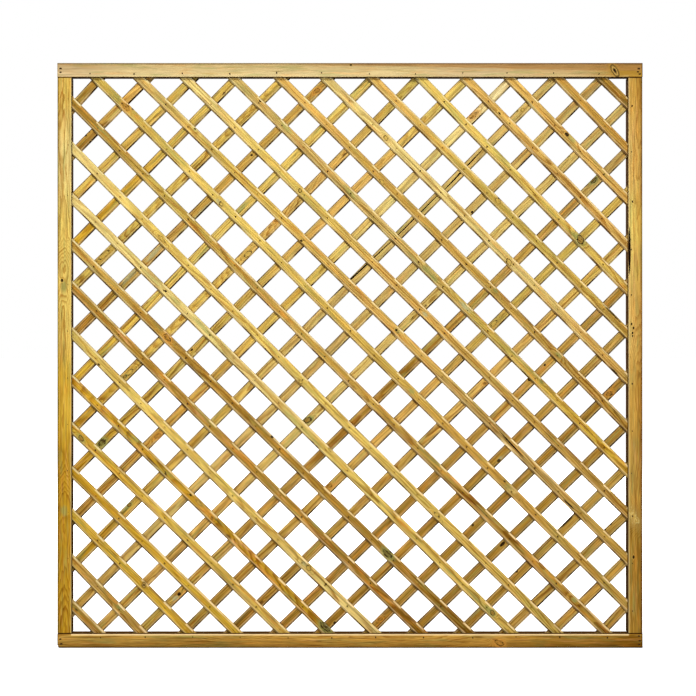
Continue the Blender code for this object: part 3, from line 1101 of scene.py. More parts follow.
def pine(name, half_size, seed, tones, board_rims, marks=(), bow=0.0, **figure):
    """Pine in a board's own axes: growth rings round a pith that wanders, knots and stains, and
    painted highlights and shade on its edges, crossings and groove.
    """
    chance = random.Random(seed)
    material, shader = new_material(name)
    nodes = Nodes(material.node_tree)
    place = nodes.add("ShaderNodeTexCoord").outputs["Object"]
    along, through, across = nodes.split(place)
    if bow:
        share = nodes.math("DIVIDE", along, half_size[0])
        shift = nodes.times(nodes.minus(BOW_BALANCE_SHARE, nodes.times(share, share)), bow)
        across = nodes.minus(across, shift)
        place = nodes.join(along, through, across)
    board = SimpleNamespace(
        nodes=nodes,
        place=place,
        along=along,
        across=across,
        half_size=half_size,
        tones=tones.split(),
        rims=board_rims,
        marks=marks,
        arches=(),
        pith=(
            0.0,
            chance.choice((FRONT, BACK)) * chance.uniform(*PITH_DEPTHS),
            chance.uniform(*PITH_OFFSETS),
        ),
        slant=(0.0, chance.uniform(*SLANTS_THROUGH), chance.uniform(*SLANTS_ACROSS)),
        shift=[chance.uniform(*PATTERN_SHIFTS) for _ in range(3)],
        ring_width=chance.uniform(*RING_WIDTHS),
        contrast=chance.uniform(*CONTRASTS),
        warmth=chance.uniform(*WARMTHS),
        greenness=chance.uniform(*GREENNESSES),
        streakiness=1.0,
        evenness=SLAT_EVENNESS,
        clear_half=None,
        grade=None,
        heart=None,
        crossings=None,
        outward=None,
    )
    vars(board).update(figure)
    board.shifted = nodes.vector("ADD", place, board.shift)
    board.mottle = nodes.minus(nodes.noise(board.shifted, MOTTLE_SCALE)["Fac"], 0.5)
    fibres = nodes.noise(board.shifted, FIBRE_SCALE, FINE_DETAIL, FIBRE_ROUGHNESS)["Fac"]

    late = late_wood(board, ring_field(board))
    colour = stains(board, ground_tone(board))
    if board.grade:
        colour = grade(board, colour)
    if board.heart:
        colour = heart_band(board, colour)
    strength = nodes.times(late, board.contrast)
    if board.outward:
        stronger = nodes.ramp(lowness(board), 0.0, 1.0, *LOW_END_CONTRAST)
        strength = nodes.times(strength, stronger)
    colour = nodes.shade(colour, strength, LATE_TINT)
    for mark in marks:
        if not on_edges(mark):
            colour = paint_mark(board, colour, mark)
    colour = streaks(board, colour, fibres)
    if board.outward == FRONT:
        colour = brad_stains(board, colour)
    elif board.outward == BACK:
        colour = crossing_shadow(board, colour)
    colour = end_grain(board, rims(board, colour))
    for mark in marks:
        if on_edges(mark):
            colour = paint_mark(board, colour, mark)
    if board.grade:
        colour = groove_shade(board, end_rims(board, colour))

    nodes.feed(shader.inputs["Base Color"], colour)
    nodes.feed(shader.inputs["Roughness"], nodes.ramp(fibres, *WOOD_ROUGHNESS_STEP))
    shader.inputs["Specular IOR Level"].default_value = WOOD_SPECULAR
    height = nodes.minus(nodes.times(fibres, FIBRE_HEIGHT), nodes.times(late, LATE_HEIGHT))
    relief = {"Strength": BUMP_STRENGTH, "Distance": BUMP_DISTANCE, "Height": height}
    nodes.feed(shader.inputs["Normal"], nodes.add("ShaderNodeBump", relief).outputs[0])
    return material


def shaded_hollow_pine(name, tones):
    """Wood painted dark between two tones, for the insides of pits, chips and cracks: painted shade,
    and in the brad pits rust staining as well.
    """
    material, shader = new_material(name)
    nodes = Nodes(material.node_tree)
    place = nodes.add("ShaderNodeTexCoord").outputs["Object"]
    mottle = nodes.noise(place, HOLLOW_MOTTLE_SCALE)["Fac"]
    nodes.feed(shader.inputs["Base Color"], nodes.mix(mottle, *map(linear, tones)))
    nodes.feed(shader.inputs["Roughness"], nodes.ramp(mottle, *HOLLOW_ROUGHNESS_STEP))
    shader.inputs["Specular IOR Level"].default_value = WOOD_SPECULAR
    return material


def dull_steel():
    """Brad heads gone brown with weather."""
    material, shader = new_material("dull_steel")
    nodes = Nodes(material.node_tree)
    place = nodes.add("ShaderNodeTexCoord").outputs["Object"]
    rust = nodes.noise(place, RUST_SCALE, FINE_DETAIL)["Fac"]
    colour = nodes.mix(nodes.ramp(rust, *RUST_STEP), *RUST_COLOURS)
    nodes.feed(shader.inputs["Base Color"], colour)
    nodes.feed(shader.inputs["Metallic"], nodes.ramp(rust, *RUST_METALLIC_STEP))
    nodes.feed(shader.inputs["Roughness"], nodes.ramp(rust, *RUST_ROUGHNESS_STEP))
    shader.inputs["Specular IOR Level"].default_value = STEEL_SPECULAR
    return material


def arc(centre, radius, start):
    """A quarter circle of outline points (y, z) from an angle given in quarter turns."""
    angles = [(start + step / ROUND_STEPS) * math.pi / 2 for step in range(ROUND_STEPS + 1)]
    return [(centre[0] + radius * math.cos(a), centre[1] + radius * math.sin(a)) for a in angles]


def slat_outline(half_size, outward):
    """Section of a slat, with its two outward edges well rounded and a few points on each face."""
    _, deep, wide = half_size
    outline = []
    for quarter, (sign_y, sign_z) in enumerate(((1, 1), (-1, 1), (-1, -1), (1, -1))):
        radius = SLAT_EDGE_RADIUS if sign_y == outward else SLAT_ARRIS_RADIUS
        outline += arc((sign_y * (deep - radius), sign_z * (wide - radius)), radius, quarter)
        if sign_y * sign_z < 0:
            outline += [(sign_y * deep, -sign_z * wide * share) for share in (-0.5, 0.0, 0.5)]
    return outline


def member_outline(half_size):
    """Section of a frame member, its groove opening towards the middle of the panel at +z."""
    _, deep, wide = half_size
    radius = MEMBER_EDGE_RADIUS
    inner = MEMBER_INNER_RADIUS
    lip = LIP_ARRIS_RADIUS
    floor = wide - GROOVE_DEPTH
    outline = arc((deep - inner, wide - inner), inner, 0)
    outline += arc((GROOVE_HALF + lip, wide - lip), lip, 1)
    outline += [(GROOVE_HALF, floor), (-GROOVE_HALF, floor)]
    outline += arc((-GROOVE_HALF - lip, wide - lip), lip, 0)
    outline += arc((-deep + inner, wide - inner), inner, 1)
    outline += [(-deep, wide * share) for share in (0.5, 0.0, -0.5)]
    outline += arc((-deep + radius, -wide + radius), radius, 2)
    outline += [(deep * share, -wide) for share in (-0.4, 0.4)]
    outline += arc((deep - radius, -wide + radius), radius, 3)
    outline += [(deep, wide * share) for share in (-0.5, 0.0, 0.5)]
    return outline


def sweep(stations, section):
    """A closed bar through the outlines that section gives at each station."""
    bm = bmesh.new()
    rings = [[bm.verts.new((x, y, z)) for y, z in section(x)] for x in stations]
    for first, second in zip(rings, rings[1:]):
        for index in range(len(first)):
            following = (index + 1) % len(first)
            bm.faces.new((first[index], first[following], second[following], second[index]))
    bm.faces.new(rings[0])
    bm.faces.new(rings[-1])
    bmesh.ops.recalc_face_normals(bm, faces=bm.faces[:])
    return bm


def new_object(name, bm, materials, place=(0, 0, 0), turn=0.0):
    """An object in the scene with that mesh, turned about Y."""
    mesh = bpy.data.meshes.new(name)
    bm.to_mesh(mesh)
    bm.free()
    for material in materials:
        mesh.materials.append(material)
    obj = bpy.data.objects.new(name, mesh)
    obj.location = place
    obj.rotation_euler = (0.0, turn, 0.0)
    bpy.context.scene.collection.objects.link(obj)
    return obj


def settle(obj):
    """Makes what the modifiers give the object's own mesh."""
    bpy.context.view_layer.update()
    evaluated = obj.evaluated_get(bpy.context.evaluated_depsgraph_get())
    mesh = bpy.data.meshes.new_from_object(evaluated)
    obj.modifiers.clear()
    obj.data = mesh


def carve(obj, bm, material, operation="DIFFERENCE"):
    """Cuts a shape in the object's own axes out of it, or joins it on, with a material of its own."""
    cutter = new_object("cutter", bm, [material], obj.location, obj.rotation_euler.y)
    modifier = obj.modifiers.new("carve", "BOOLEAN")
    modifier.operation = operation
    modifier.object = cutter
    modifier.material_mode = "TRANSFER"
    settle(obj)
    bpy.data.objects.remove(cutter, do_unlink=True)


def smooth(obj):
    """Smooth shading that leaves flat faces flat and sharp edges sharp."""
    obj.data.shade_smooth()
    obj.data.set_sharp_from_angle(angle=SMOOTH_ANGLE)
    weighted = obj.modifiers.new("weighted", "WEIGHTED_NORMAL")
    weighted.keep_sharp = True
    settle(obj)


def add_box(bm, middle, size, turn=0.0):
    """A box in a mesh, turned in the plane of the panel."""
    place = Matrix.Translation(middle) @ Matrix.Rotation(turn, 4, "Y")
    bmesh.ops.create_cube(bm, size=1.0, matrix=place @ Matrix.Diagonal((*size, 1)))


def wave(x, row, seed):
    """Smooth noise from -1 to 1 along a piece."""
    return noise.noise(Vector((x * WAVE_STEPS[0], row * WAVE_STEPS[1], seed * WAVE_STEPS[2])))


def stations_between(low, high, spacing):
    """Evenly spaced places from low to high, as near to the spacing as fits."""
    count = max(2, round((high - low) / spacing))
    return [low + (high - low) * index / count for index in range(count + 1)]


# A brad in the axes of the piece that it is driven into: its place, its turn and its pit's size
Brad = namedtuple("Brad", "along across turn size")


def scattered_brads(places, seed, turn, sizes, scatter_along=BRAD_PLACE_SCATTER):
    """Brads at places (along, across), moved and turned a little, as a nail gun leaves them."""
    chance = random.Random(seed)
    return [
        Brad(
            along + chance.uniform(-scatter_along, scatter_along),
            across + chance.uniform(-BRAD_PLACE_SCATTER, BRAD_PLACE_SCATTER),
            turn + chance.uniform(-BRAD_TURN_SCATTER, BRAD_TURN_SCATTER),
            chance.uniform(*sizes),
        )
        for along, across in places
    ]


def brad_pits(brads, face_y):
    """Cutter for the pits of brads driven into the face at that depth."""
    bm = bmesh.new()
    depth = BRAD_PIT_DEPTH + CUT_OVERRUN
    middle_y = face_y + BRAD_PIT_DEPTH - depth / 2
    for brad in brads:
        size = (BRAD_PIT_LENGTH * brad.size, depth, BRAD_PIT_WIDTH * brad.size)
        add_box(bm, (brad.along, middle_y, brad.across), size, brad.turn)
    return bm


def brad_bodies(brads, face_y):
    """The brads themselves, with their heads at the bottom of the pits."""
    bm = bmesh.new()
    head_y = face_y + BRAD_PIT_DEPTH - BRAD_HEAD_THICKNESS / 2
    for brad in brads:
        size = (BRAD_HEAD_LENGTH, BRAD_HEAD_THICKNESS, BRAD_HEAD_WIDTH)
        add_box(bm, (brad.along, head_y, brad.across), size, brad.turn)
    edges = bm.edges[:]
    bmesh.ops.bevel(
        bm,
        geom=edges,
        offset=BRAD_HEAD_BEVEL,
        segments=BEVEL_STEPS,
        profile=0.5,
        affect="EDGES",
    )
    for brad in brads:
        middle = (brad.along, head_y + BRAD_SHANK_LENGTH / 2, brad.across)
        add_box(bm, middle, (BRAD_SHANK_WIDTH, BRAD_SHANK_LENGTH, BRAD_SHANK_WIDTH), brad.turn)
    return bm


def drive_brads(name, brads, piece, face_y):
    """Sinks brads into a piece's face, as one more piece of that name."""
    carve(piece, brad_pits(brads, face_y), PIT)
    bm = brad_bodies(brads, face_y)
    group = new_object(name, bm, [STEEL], piece.location, piece.rotation_euler.y)
    smooth(group)
    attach(group, "root")


def crack_cutter(start, end, width, face_y, seed):
    """A thin wedge along a crack's wandering line, from its start to its end (along, across)."""
    length = end[0] - start[0]

    def section(x):
        share = (x - start[0]) / length
        middle = start[1] + (end[1] - start[1]) * share
        middle += CRACK_WANDER * noise.noise(Vector((x * CRACK_WANDERS_PER_METRE, seed, 0.0)))
        half = CRACK_TIP + width / 2 * math.sin(math.pi * share) ** CRACK_BLUNTNESS
        top, bottom = face_y - CUT_OVERRUN, face_y + CRACK_DEPTH
        floor = half * CRACK_FLOOR_SHARE
        return [
            (top, middle - half),
            (top, middle + half),
            (bottom, middle + floor),
            (bottom, middle - floor),
        ]

    inside = (start[0] + CRACK_TIP, end[0] - CRACK_TIP)
    return sweep(stations_between(*inside, CRACK_STATION), section)


def chip_cutter(along, edge, long, wide, half_size, seed):
    """A rough lump that bites into a slat's long edge."""
    bm = bmesh.new()
    bmesh.ops.create_icosphere(bm, subdivisions=CHIP_ROUNDS, radius=1.0)
    for vertex in bm.verts:
        lump = noise.noise(vertex.co * CHIP_LUMPS + Vector((seed, 0, 0)))
        vertex.co *= 1 + CHIP_ROUGHNESS * lump
    deep = half_size[1] * CHIP_DEPTH_SHARE
    size = Matrix.Diagonal((long / 2, deep, wide, 1))
    bm.transform(Matrix.Translation((along, -half_size[1], edge)) @ size)
    return bm


def trim(bm, turn, middle, low, high):
    """Cuts a slat's ends parallel to the frame, at the edges of the rectangle that holds them."""
    planes = [(low, (-1, 0, 0)), (low, (0, 0, -1)), (high, (1, 0, 0)), (high, (0, 0, 1))]
    for corner, normal in planes:
        bmesh.ops.bisect_plane(
            bm,
            geom=bm.verts[:] + bm.edges[:] + bm.faces[:],
            plane_co=own_axes(turn) @ (corner - middle),
            plane_no=own_axes(turn) @ Vector(normal),
            clear_outer=True,
        )
        bmesh.ops.holes_fill(bm, edges=bm.edges[:], sides=0)


def bend(slat, along):
    """How far a slat's centre line lies off its straight axis at a place along it."""
    return slat.bow * (BOW_BALANCE_SHARE - (along / slat.half_size[0]) ** 2)


def on_slat(slat, pixel):
    """A pixel's place (along, across) in a slat's own axes."""
    face_y = slat.middle.y - slat.half_size[1]
    point = own_axes(slat.turn) @ (on_panel(pixel, face_y) - slat.middle)
    return point.x, point.z


def slat_at(layer, pixel):
    """The slat at a pixel of the photograph."""

    def distance(slat):
        along, across = on_slat(slat, pixel)
        return abs(across - bend(slat, along))

    return min(SLATS[layer], key=distance)


def marks_by_slat(layer, listed):
    """The marks of each slat, by its number, in the slat's own axes."""
    marks = {}
    for kind, pixel, long, wide in listed:
        slat = slat_at(layer, pixel)
        along, across = on_slat(slat, pixel)
        across -= bend(slat, along)
        mark = Mark(kind, along, across, long * MILLIMETRE, wide * MILLIMETRE)
        marks.setdefault(slat.number, []).append(mark)
    return marks


def member_place(name, pixel):
    """A pixel's place (along, across) on a frame member's front face."""
    middle, half_size = MEMBER_BOXES[name]
    point = own_axes(MEMBER_TURN[name]) @ (on_panel(pixel, middle.y - half_size[1]) - middle)
    return point.x, point.z


def crossing(slat, other):
    """Where a slat of the other layer crosses this one, along its own axis."""
    axes = own_axes(slat.turn)
    middle = axes @ (other.middle - slat.middle)
    direction = axes @ Matrix.Rotation(other.turn, 3, "Y") @ Vector((1, 0, 0))
    reach = -middle.z / direction.z
    # A front slat's z is a back slat's x, and a back slat's z is a front slat's -x
    side = 1 if slat.layer == "back" else -1
    return middle.x + reach * direction.x + side * bend(other, reach)


def crossing_places(slat):
    """Where a front slat's brads go, (along, across): one on each crossing clear of the frame."""
    half_crossing = slat.half_size[2] * math.sqrt(2)
    places = []
    for other in SLATS["back"]:
        along = crossing(slat, other)
        place = Vector((along, 0, bend(slat, along)))
        point = slat.middle + Matrix.Rotation(slat.turn, 3, "Y") @ place
        inside_x = CLEAR_LOW.x + half_crossing < point.x < CLEAR_HIGH.x - half_crossing
        inside_z = CLEAR_LOW.z + half_crossing < point.z < CLEAR_HIGH.z - half_crossing
        if inside_x and inside_z:
            places.append((along, place.z))
    return places


def make_slat(slat, tones, marks):
    """One slat, without its cracks, chips and brads."""
    outward = FRONT if slat.layer == "front" else BACK
    seed = slat.number + (0 if slat.layer == "front" else BACK_SEED)
    outline = slat_outline(slat.half_size, outward)

    def section(x):
        shift = SLAT_WANDER * wave(x * MIDDLE_WAVES, 0, seed) + bend(slat, x)
        points = []
        for y, z in outline:
            side = 1 if z > 0 else -1
            swell = SLAT_EDGE_WAVE * wave(x * EDGE_WAVES, side, seed) * abs(z) / slat.half_size[2]
            points.append((y, z + shift + side * swell))
        return points

    half_length = slat.half_size[0] + abs(slat.bow) + CUT_OVERRUN
    bm = sweep(stations_between(-half_length, half_length, SLAT_STATION), section)
    trim(bm, slat.turn, slat.middle, WOOD_LOW + SLAT_SHORTENING, WOOD_HIGH - SLAT_SHORTENING)
    others = SLATS["back" if slat.layer == "front" else "front"]
    looks = {}
    if slat.number in SLAT_STAINS[slat.layer]:
        looks["warmth"], looks["greenness"] = SLAT_STAINS[slat.layer][slat.number]
    if slat.number in SLAT_FIGURES[slat.layer]:
        depth, slope, looks["contrast"] = SLAT_FIGURES[slat.layer][slat.number]
        looks["pith"] = (0.0, depth, 0.0)
        looks["slant"] = (0.0, slope, 0.0)
    material = pine(
        f"pine_{slat.name}",
        slat.half_size,
        seed,
        tones,
        SLAT_RIMS[slat.layer],
        marks,
        bow=slat.bow,
        crossings=sorted(crossing(slat, other) for other in others),
        outward=outward,
        **looks,
    )
    return new_object(f"pine_{slat.name}", bm, [material], slat.middle, slat.turn)


def crack_slat(piece, slat, start, end, width):
    """Opens a crack in the slat's front face between two pixels."""
    ends = sorted((on_slat(slat, start), on_slat(slat, end)))
    cutter = crack_cutter(*ends, width * MILLIMETRE, -slat.half_size[1], slat.number)
    carve(piece, cutter, CRACKED)


def chip_slat(piece, slat, pixel, long, wide):
    """Breaks a chip out of the slat's edge that is nearer to a pixel."""
    along, across = on_slat(slat, pixel)
    side = 1 if across > bend(slat, along) else -1
    edge = bend(slat, along) + side * slat.half_size[2]
    size = (long * MILLIMETRE, wide * MILLIMETRE)
    carve(piece, chip_cutter(along, edge, *size, slat.half_size, slat.number), PIT)


def make_layer(layer, tones, marks, cracks, chips):
    """All the slats of one layer, in order, with their cracks, chips and brads."""
    by_slat = marks_by_slat(layer, marks)
    pieces = {
        slat: make_slat(slat, slat_tones, by_slat.get(slat.number, ()))
        for slat, slat_tones in zip(SLATS[layer], tones)
    }
    for start, end, width in cracks:
        slat = slat_at(layer, start)
        crack_slat(pieces[slat], slat, start, end, width)
    for pixel, long, wide in chips:
        slat = slat_at(layer, pixel)
        chip_slat(pieces[slat], slat, pixel, long, wide)
    for slat, piece in pieces.items():
        places = crossing_places(slat) if layer == "front" else []
        if places:
            brads = scattered_brads(places, slat.number, UPRIGHT - slat.turn, CROSSING_PIT_SIZES)
            drive_brads(f"crossing_brads_{slat.number:02d}", brads, piece, -slat.half_size[1])
        smooth(piece)
        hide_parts(slat.name)
        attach(piece, "root")


def lip_brad_places():
    """Where the brads through the front lips into the front slats' ends go, by member."""
    low = CLEAR_LOW - Vector((LIP_BRAD_INSET, 0, LIP_BRAD_INSET))
    high = CLEAR_HIGH + Vector((LIP_BRAD_INSET, 0, LIP_BRAD_INSET))
    places = {name: [] for name in MEMBER_TURN}
    for slat in SLATS["front"]:
        middle = slat.middle
        fall = math.tan(slat.turn)
        ends = (
            ("left_stile", low.x, middle.z - (low.x - middle.x) * fall),
            ("right_stile", high.x, middle.z - (high.x - middle.x) * fall),
            ("bottom_rail", middle.x - (low.z - middle.z) / fall, low.z),
            ("top_rail", middle.x - (high.z - middle.z) / fall, high.z),
        )
        for name, x, z in ends:
            if low.x <= x <= high.x and low.z <= z <= high.z:
                member_middle = MEMBER_BOXES[name][0]
                local = own_axes(MEMBER_TURN[name]) @ (Vector((x, 0, z)) - member_middle)
                places[name].append((local.x, local.z))
    return places


def corner_brad_places(name):
    """Where the CAD model's corner brads stand in a rail."""
    middle, _ = MEMBER_BOXES[name]
    edge = name.split("_")[0]
    places = []
    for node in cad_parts:
        if "_brad_" in node and node.startswith(edge):
            low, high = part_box(node)
            local = own_axes(MEMBER_TURN[name]) @ ((low + high) / 2 - middle)
            places.append((local.x, local.z))
    return places


def member_box(name):
    """As box_of, for a rail, or for a stile without its tenons."""
    low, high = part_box(name)
    if name.endswith("stile"):
        low.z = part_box("bottom_rail")[1].z + FIT_GAP
        high.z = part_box("top_rail")[0].z - FIT_GAP
    corners = [Vector(corner) for corner in product(*zip(low, high))]
    return box_of(corners, MEMBER_TURN[name])


def member_section(half_size, is_rail, seed):
    """The outline at each station: a little uneven, and rounded towards a stile's ends."""
    length, deep, wide = half_size
    outline = member_outline(half_size)
    radius = MEMBER_EDGE_RADIUS

    def section(x):
        past = 0.0 if is_rail else max(0.0, abs(x) - (length - radius))
        inset = radius - math.sqrt(radius**2 - past**2)
        points = []
        for y, z in outline:
            if abs(y) > GROOVE_HALF + LIP_ARRIS_RADIUS * 2:
                row = round(z * WAVE_ROWS_PER_METRE)
                y += math.copysign(MEMBER_WAVE, y) * (wave(x, row, seed) - MEMBER_WAVE_MIDDLE)
            if z < -wide / 2:
                row = round(y * WAVE_ROWS_PER_METRE)
                z -= MEMBER_WAVE * (wave(x, row, seed + SIDE_SEED) - MEMBER_WAVE_MIDDLE)
            y = min(max(y, inset - deep), deep - inset)
            z = min(max(z, inset - wide), wide - inset)
            points.append((y, z))
        return points

    return section


def member_stations(length, is_rail):
    """The stations of a member, closer together where a stile's ends are rounded."""
    stations = stations_between(-length, length, MEMBER_STATION)
    if is_rail:
        return stations
    angles = [math.radians(angle) for angle in STILE_END_ANGLES]
    ends = [length - MEMBER_EDGE_RADIUS * (1 - math.sin(angle)) for angle in angles]
    return [-x for x in reversed(ends)] + stations[1:-1] + ends


def end_slots(half_size):
    """Cutter for the slots through a rail's ends that take the stiles' tenons."""
    length, _, wide = half_size
    bm = bmesh.new()
    tenon_width = 2 * wide - GROOVE_DEPTH
    size = (tenon_width + FIT_GAP + CUT_OVERRUN, 2 * GROOVE_HALF, 2 * wide + 2 * CUT_OVERRUN)
    for side in (-1, 1):
        add_box(bm, (side * (length + CUT_OVERRUN - size[0] / 2), 0, 0), size)
    return bm


def end_tenons(half_size):
    """The tenons at a stile's two ends."""
    length, _, wide = half_size
    bm = bmesh.new()
    rail_low, rail_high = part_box("bottom_rail")
    reach = rail_high.z - rail_low.z - TENON_SETBACK + FIT_GAP
    tenon_width = 2 * wide - GROOVE_DEPTH - FIT_GAP
    size = (TENON_ROOT + reach, 2 * (GROOVE_HALF - FIT_GAP), tenon_width)
    for side in (-1, 1):
        middle_x = side * (length + reach - size[0] / 2)
        add_box(bm, (middle_x, 0, -wide + FIT_GAP + tenon_width / 2), size)
    return bm


def make_member(name, seed):
    """A rail or stile with its joints, brads, crack and broken corner."""
    middle, half_size = MEMBER_BOXES[name]
    is_rail = name.endswith("rail")
    marks = [
        Mark(kind, *member_place(name, pixel), long * MILLIMETRE, wide * MILLIMETRE)
        for kind, pixel, long, wide in MEMBER_MARKS[name]
    ]
    arches = [
        Arches(member_place(name, pixel)[0], long * MILLIMETRE, rise * MILLIMETRE)
        for pixel, long, rise in MEMBER_ARCHES[name]
    ]
    material = pine(
        "pine_" + name,
        half_size,
        seed,
        MEMBER_TONES[name],
        MEMBER_RIMS[name],
        marks,
        arches=arches,
        grade=MEMBER_GRADES[name],
        end_rims=MEMBER_END_SHADES[name],
        evenness=MEMBER_EVENNESS,
        clear_half=CLEAR_HIGH.x if is_rail else half_size[0],
        slant=(0.0, 0.0, 0.0),
        pith=(0.0, *MEMBER_PITHS[name]),
        ring_width=MEMBER_RING_WIDTH,
        contrast=MEMBER_FIGURES[name][0],
        streakiness=MEMBER_FIGURES[name][1],
        heart=TOP_RAIL_HEART if name == "top_rail" else None,
    )
    stations = member_stations(half_size[0], is_rail)
    bm = sweep(stations, member_section(half_size, is_rail, seed))
    member = new_object("pine_" + name, bm, [material], middle, MEMBER_TURN[name])
    if is_rail:
        carve(member, end_slots(half_size), material)
    else:
        carve(member, end_tenons(half_size), material, "UNION")

    face_y = -half_size[1]
    upright = UPRIGHT - abs(MEMBER_TURN[name]) % math.pi
    sizes = LIP_PIT_SIZES[name]
    lip_brads = scattered_brads(LIP_BRADS[name], seed, upright, sizes, LIP_BRAD_SCATTER)
    drive_brads(f"lip_brads_{name}", lip_brads, member, face_y)
    for start, end, width in MEMBER_CRACKS.get(name, ()):
        ends = sorted((member_place(name, start), member_place(name, end)))
        carve(member, crack_cutter(*ends, width * MILLIMETRE, face_y, seed), CRACKED)
    if name == "bottom_rail":
        long, wide = (value * MILLIMETRE for value in CORNER_CHIP)
        chip = chip_cutter(-half_size[0], -half_size[2], long, wide, half_size, seed)
        carve(member, chip, PIT)
    if is_rail:
        corners = scattered_brads(corner_brad_places(name), seed, 0.0, CORNER_PIT_SIZES)
        carve(member, brad_pits(corners, face_y), PIT)
        place = member_place(name, THIRD_BRADS[name])
        third = scattered_brads([place], seed + 1, 0.0, CORNER_PIT_SIZES)
        drive_brads(f"third_corner_brad_{name}", third, member, face_y)
    smooth(member)
    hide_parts(name)
    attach(member, "root")


def seen_directly(nodes):
    """1 for what the camera, a reflection or a refraction sees, and 0 for light on the scene."""
    path = nodes.add("ShaderNodeLightPath").outputs
    seen = nodes.math("MAXIMUM", path["Is Camera Ray"], path["Is Glossy Ray"])
    return nodes.math("MAXIMUM", seen, path["Is Transmission Ray"])


def make_floor():
    """A wide, pale floor that takes the panel's shadow and runs out into a white background."""
    material, shader = new_material("pale_floor")
    nodes = Nodes(material.node_tree)
    place = nodes.add("ShaderNodeTexCoord").outputs["Object"]
    speckle = nodes.noise(place, FLOOR_SCALE)["Fac"]
    nodes.feed(shader.inputs["Base Color"], nodes.mix(speckle, *FLOOR_COLOURS))
    shader.inputs["Roughness"].default_value = FLOOR_ROUGHNESS
    shader.inputs["Specular IOR Level"].default_value = FLOOR_SPECULAR
    glow = nodes.ramp(nodes.vector("LENGTH", place), *FLOOR_GLOW_REACH, *FLOOR_GLOW)
    strength = nodes.times(seen_directly(nodes), glow)
    light = nodes.add("ShaderNodeEmission", {"Strength": strength})
    both = nodes.add("ShaderNodeAddShader", {0: shader.outputs[0], 1: light.outputs[0]})
    output = material.node_tree.nodes["Material Output"]
    material.node_tree.links.new(both.outputs[0], output.inputs["Surface"])
    bm = bmesh.new()
    bmesh.ops.create_grid(bm, x_segments=1, y_segments=1, size=FLOOR_REACH)
    new_object("floor", bm, [material])


def make_world():
    """White where it is seen, and a weak light from all round on the panel."""
    world = bpy.data.worlds.new("studio")
    bpy.context.scene.world = world
    world.use_nodes = True
    nodes = Nodes(world.node_tree)
    background = world.node_tree.nodes["Background"]
    background.inputs["Color"].default_value = (1, 1, 1, 1)
    strength = nodes.ramp(seen_directly(nodes), 0.0, 1.0, AMBIENT, 1.0)
    nodes.feed(background.inputs["Strength"], strength)


def make_lamp(name, place, size, power):
    """A square soft lamp that shines at the panel's middle."""
    data = bpy.data.lights.new(name, "AREA")
    data.shape = "SQUARE"
    data.size = size
    data.energy = power
    lamp = bpy.data.objects.new(name, data)
    lamp.location = place
    towards = Vector(LAMP_TARGET) - Vector(place)
    lamp.rotation_euler = towards.to_track_quat("-Z", "Y").to_euler()
    lamp.visible_camera = False
    bpy.context.scene.collection.objects.link(lamp)


def make_camera():
    """The camera of the photograph, level and looking along +Y."""
    data = bpy.data.cameras.new("camera")
    data.lens = CAMERA_LENS_MM
    data.sensor_width = CAMERA_SENSOR_MM
    data.shift_x, data.shift_y = CAMERA_SHIFT
    camera = bpy.data.objects.new("camera", data)
    camera.location = CAMERA_PLACE
    camera.rotation_euler = (math.pi / 2, 0.0, 0.0)
    bpy.context.scene.collection.objects.link(camera)
    bpy.context.scene.camera = camera


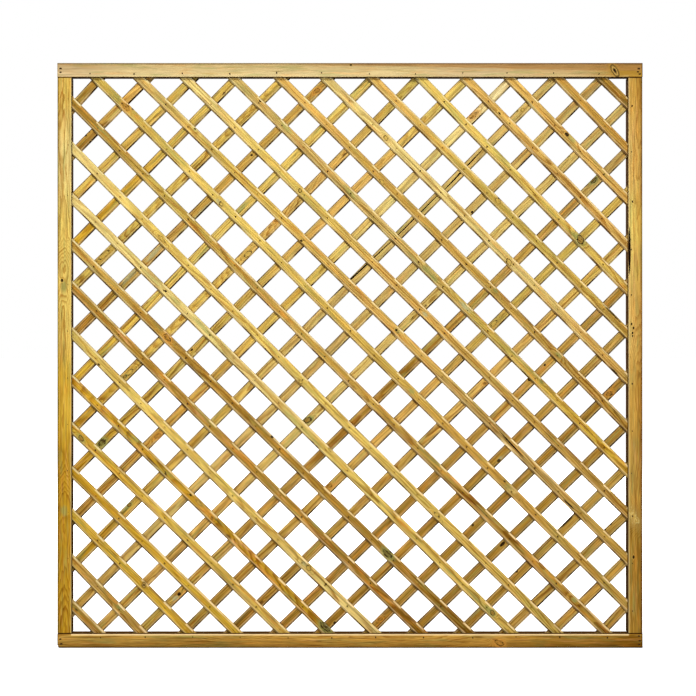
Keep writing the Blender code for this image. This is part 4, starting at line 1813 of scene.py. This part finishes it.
# Stage and lamps
FLOOR_REACH = 30.0
FLOOR_SCALE = (3.0, 3.0, 3.0)
FLOOR_COLOURS = ((0.80, 0.80, 0.80, 1), (0.82, 0.82, 0.82, 1))
FLOOR_ROUGHNESS = 0.9
FLOOR_SPECULAR = 0.1
FLOOR_GLOW = (0.60, 1.0)
FLOOR_GLOW_REACH = (1.2, 4.0)
AMBIENT = 0.12
LAMP_TARGET = (0.0, 0.0, 0.9)
LAMPS = (
    ("key", (-0.6, -4.0, 4.1), 1.4, 212),
    ("fill", (-1.0, -6.0, 1.6), 3.0, 62),
    ("back_fill", (0.3, 4.8, 3.4), 3.0, 240),
    ("left_fill", (-4.6, 0.4, 1.9), 2.2, 95),
    ("right_fill", (4.6, 0.4, 1.9), 2.2, 95),
)

# Places taken from the CAD model
NUMBERS = range(1, SLATS_EACH_WAY + 1)
SLATS = {layer: [slat_from_node(layer, number) for number in NUMBERS] for layer in LAYERS}
SLAT_HALF_WIDTH = SLATS["front"][0].half_size[2]
SLAT_CORNERS = [corner for layer in LAYERS for slat in SLATS[layer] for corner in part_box(slat.name)]
WOOD_LOW = Vector([min(corner[axis] for corner in SLAT_CORNERS) for axis in range(3)])
WOOD_HIGH = Vector([max(corner[axis] for corner in SLAT_CORNERS) for axis in range(3)])
CLEAR_LOW = Vector((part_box("left_stile")[1].x, 0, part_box("bottom_rail")[1].z))
CLEAR_HIGH = Vector((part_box("right_stile")[0].x, 0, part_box("top_rail")[0].z))
MEMBER_BOXES = {name: member_box(name) for name in MEMBER_TURN}
MEMBER_PITHS = {
    "bottom_rail": (0.012, 0.020),
    "top_rail": (0.012, -0.030),
    "left_stile": (0.012, 0.002),
    "right_stile": (0.012, -0.018),
}

# Half the groove's width: both layers of slats and a gap on each side of them
GROOVE_HALF = (WOOD_HIGH.y - WOOD_LOW.y) / 2 + FIT_GAP
LIP_BRADS = lip_brad_places()

# Painted shade: the insides of pits, chips and cracks are painted near-black
PIT = shaded_hollow_pine("shaded_hollow_pine", ("pit", "bark"))
CRACKED = shaded_hollow_pine("cracked_pine", ("soot", "pit"))
STEEL = dull_steel()

make_camera()
make_layer("front", FRONT_TONES, FRONT_MARKS, FRONT_CRACKS, FRONT_CHIPS)
make_layer("back", BACK_TONES, BACK_MARKS, BACK_CRACKS, BACK_CHIPS)
for seed, name in enumerate(MEMBER_TURN, start=MEMBER_SEED):
    make_member(name, seed)
for name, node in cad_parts.items():
    if "_brad_" in name:
        node.data.materials.clear()
        node.data.materials.append(STEEL)

make_floor()
make_world()
for lamp in LAMPS:
    make_lamp(*lamp)
bpy.context.scene.view_settings.view_transform = "Standard"
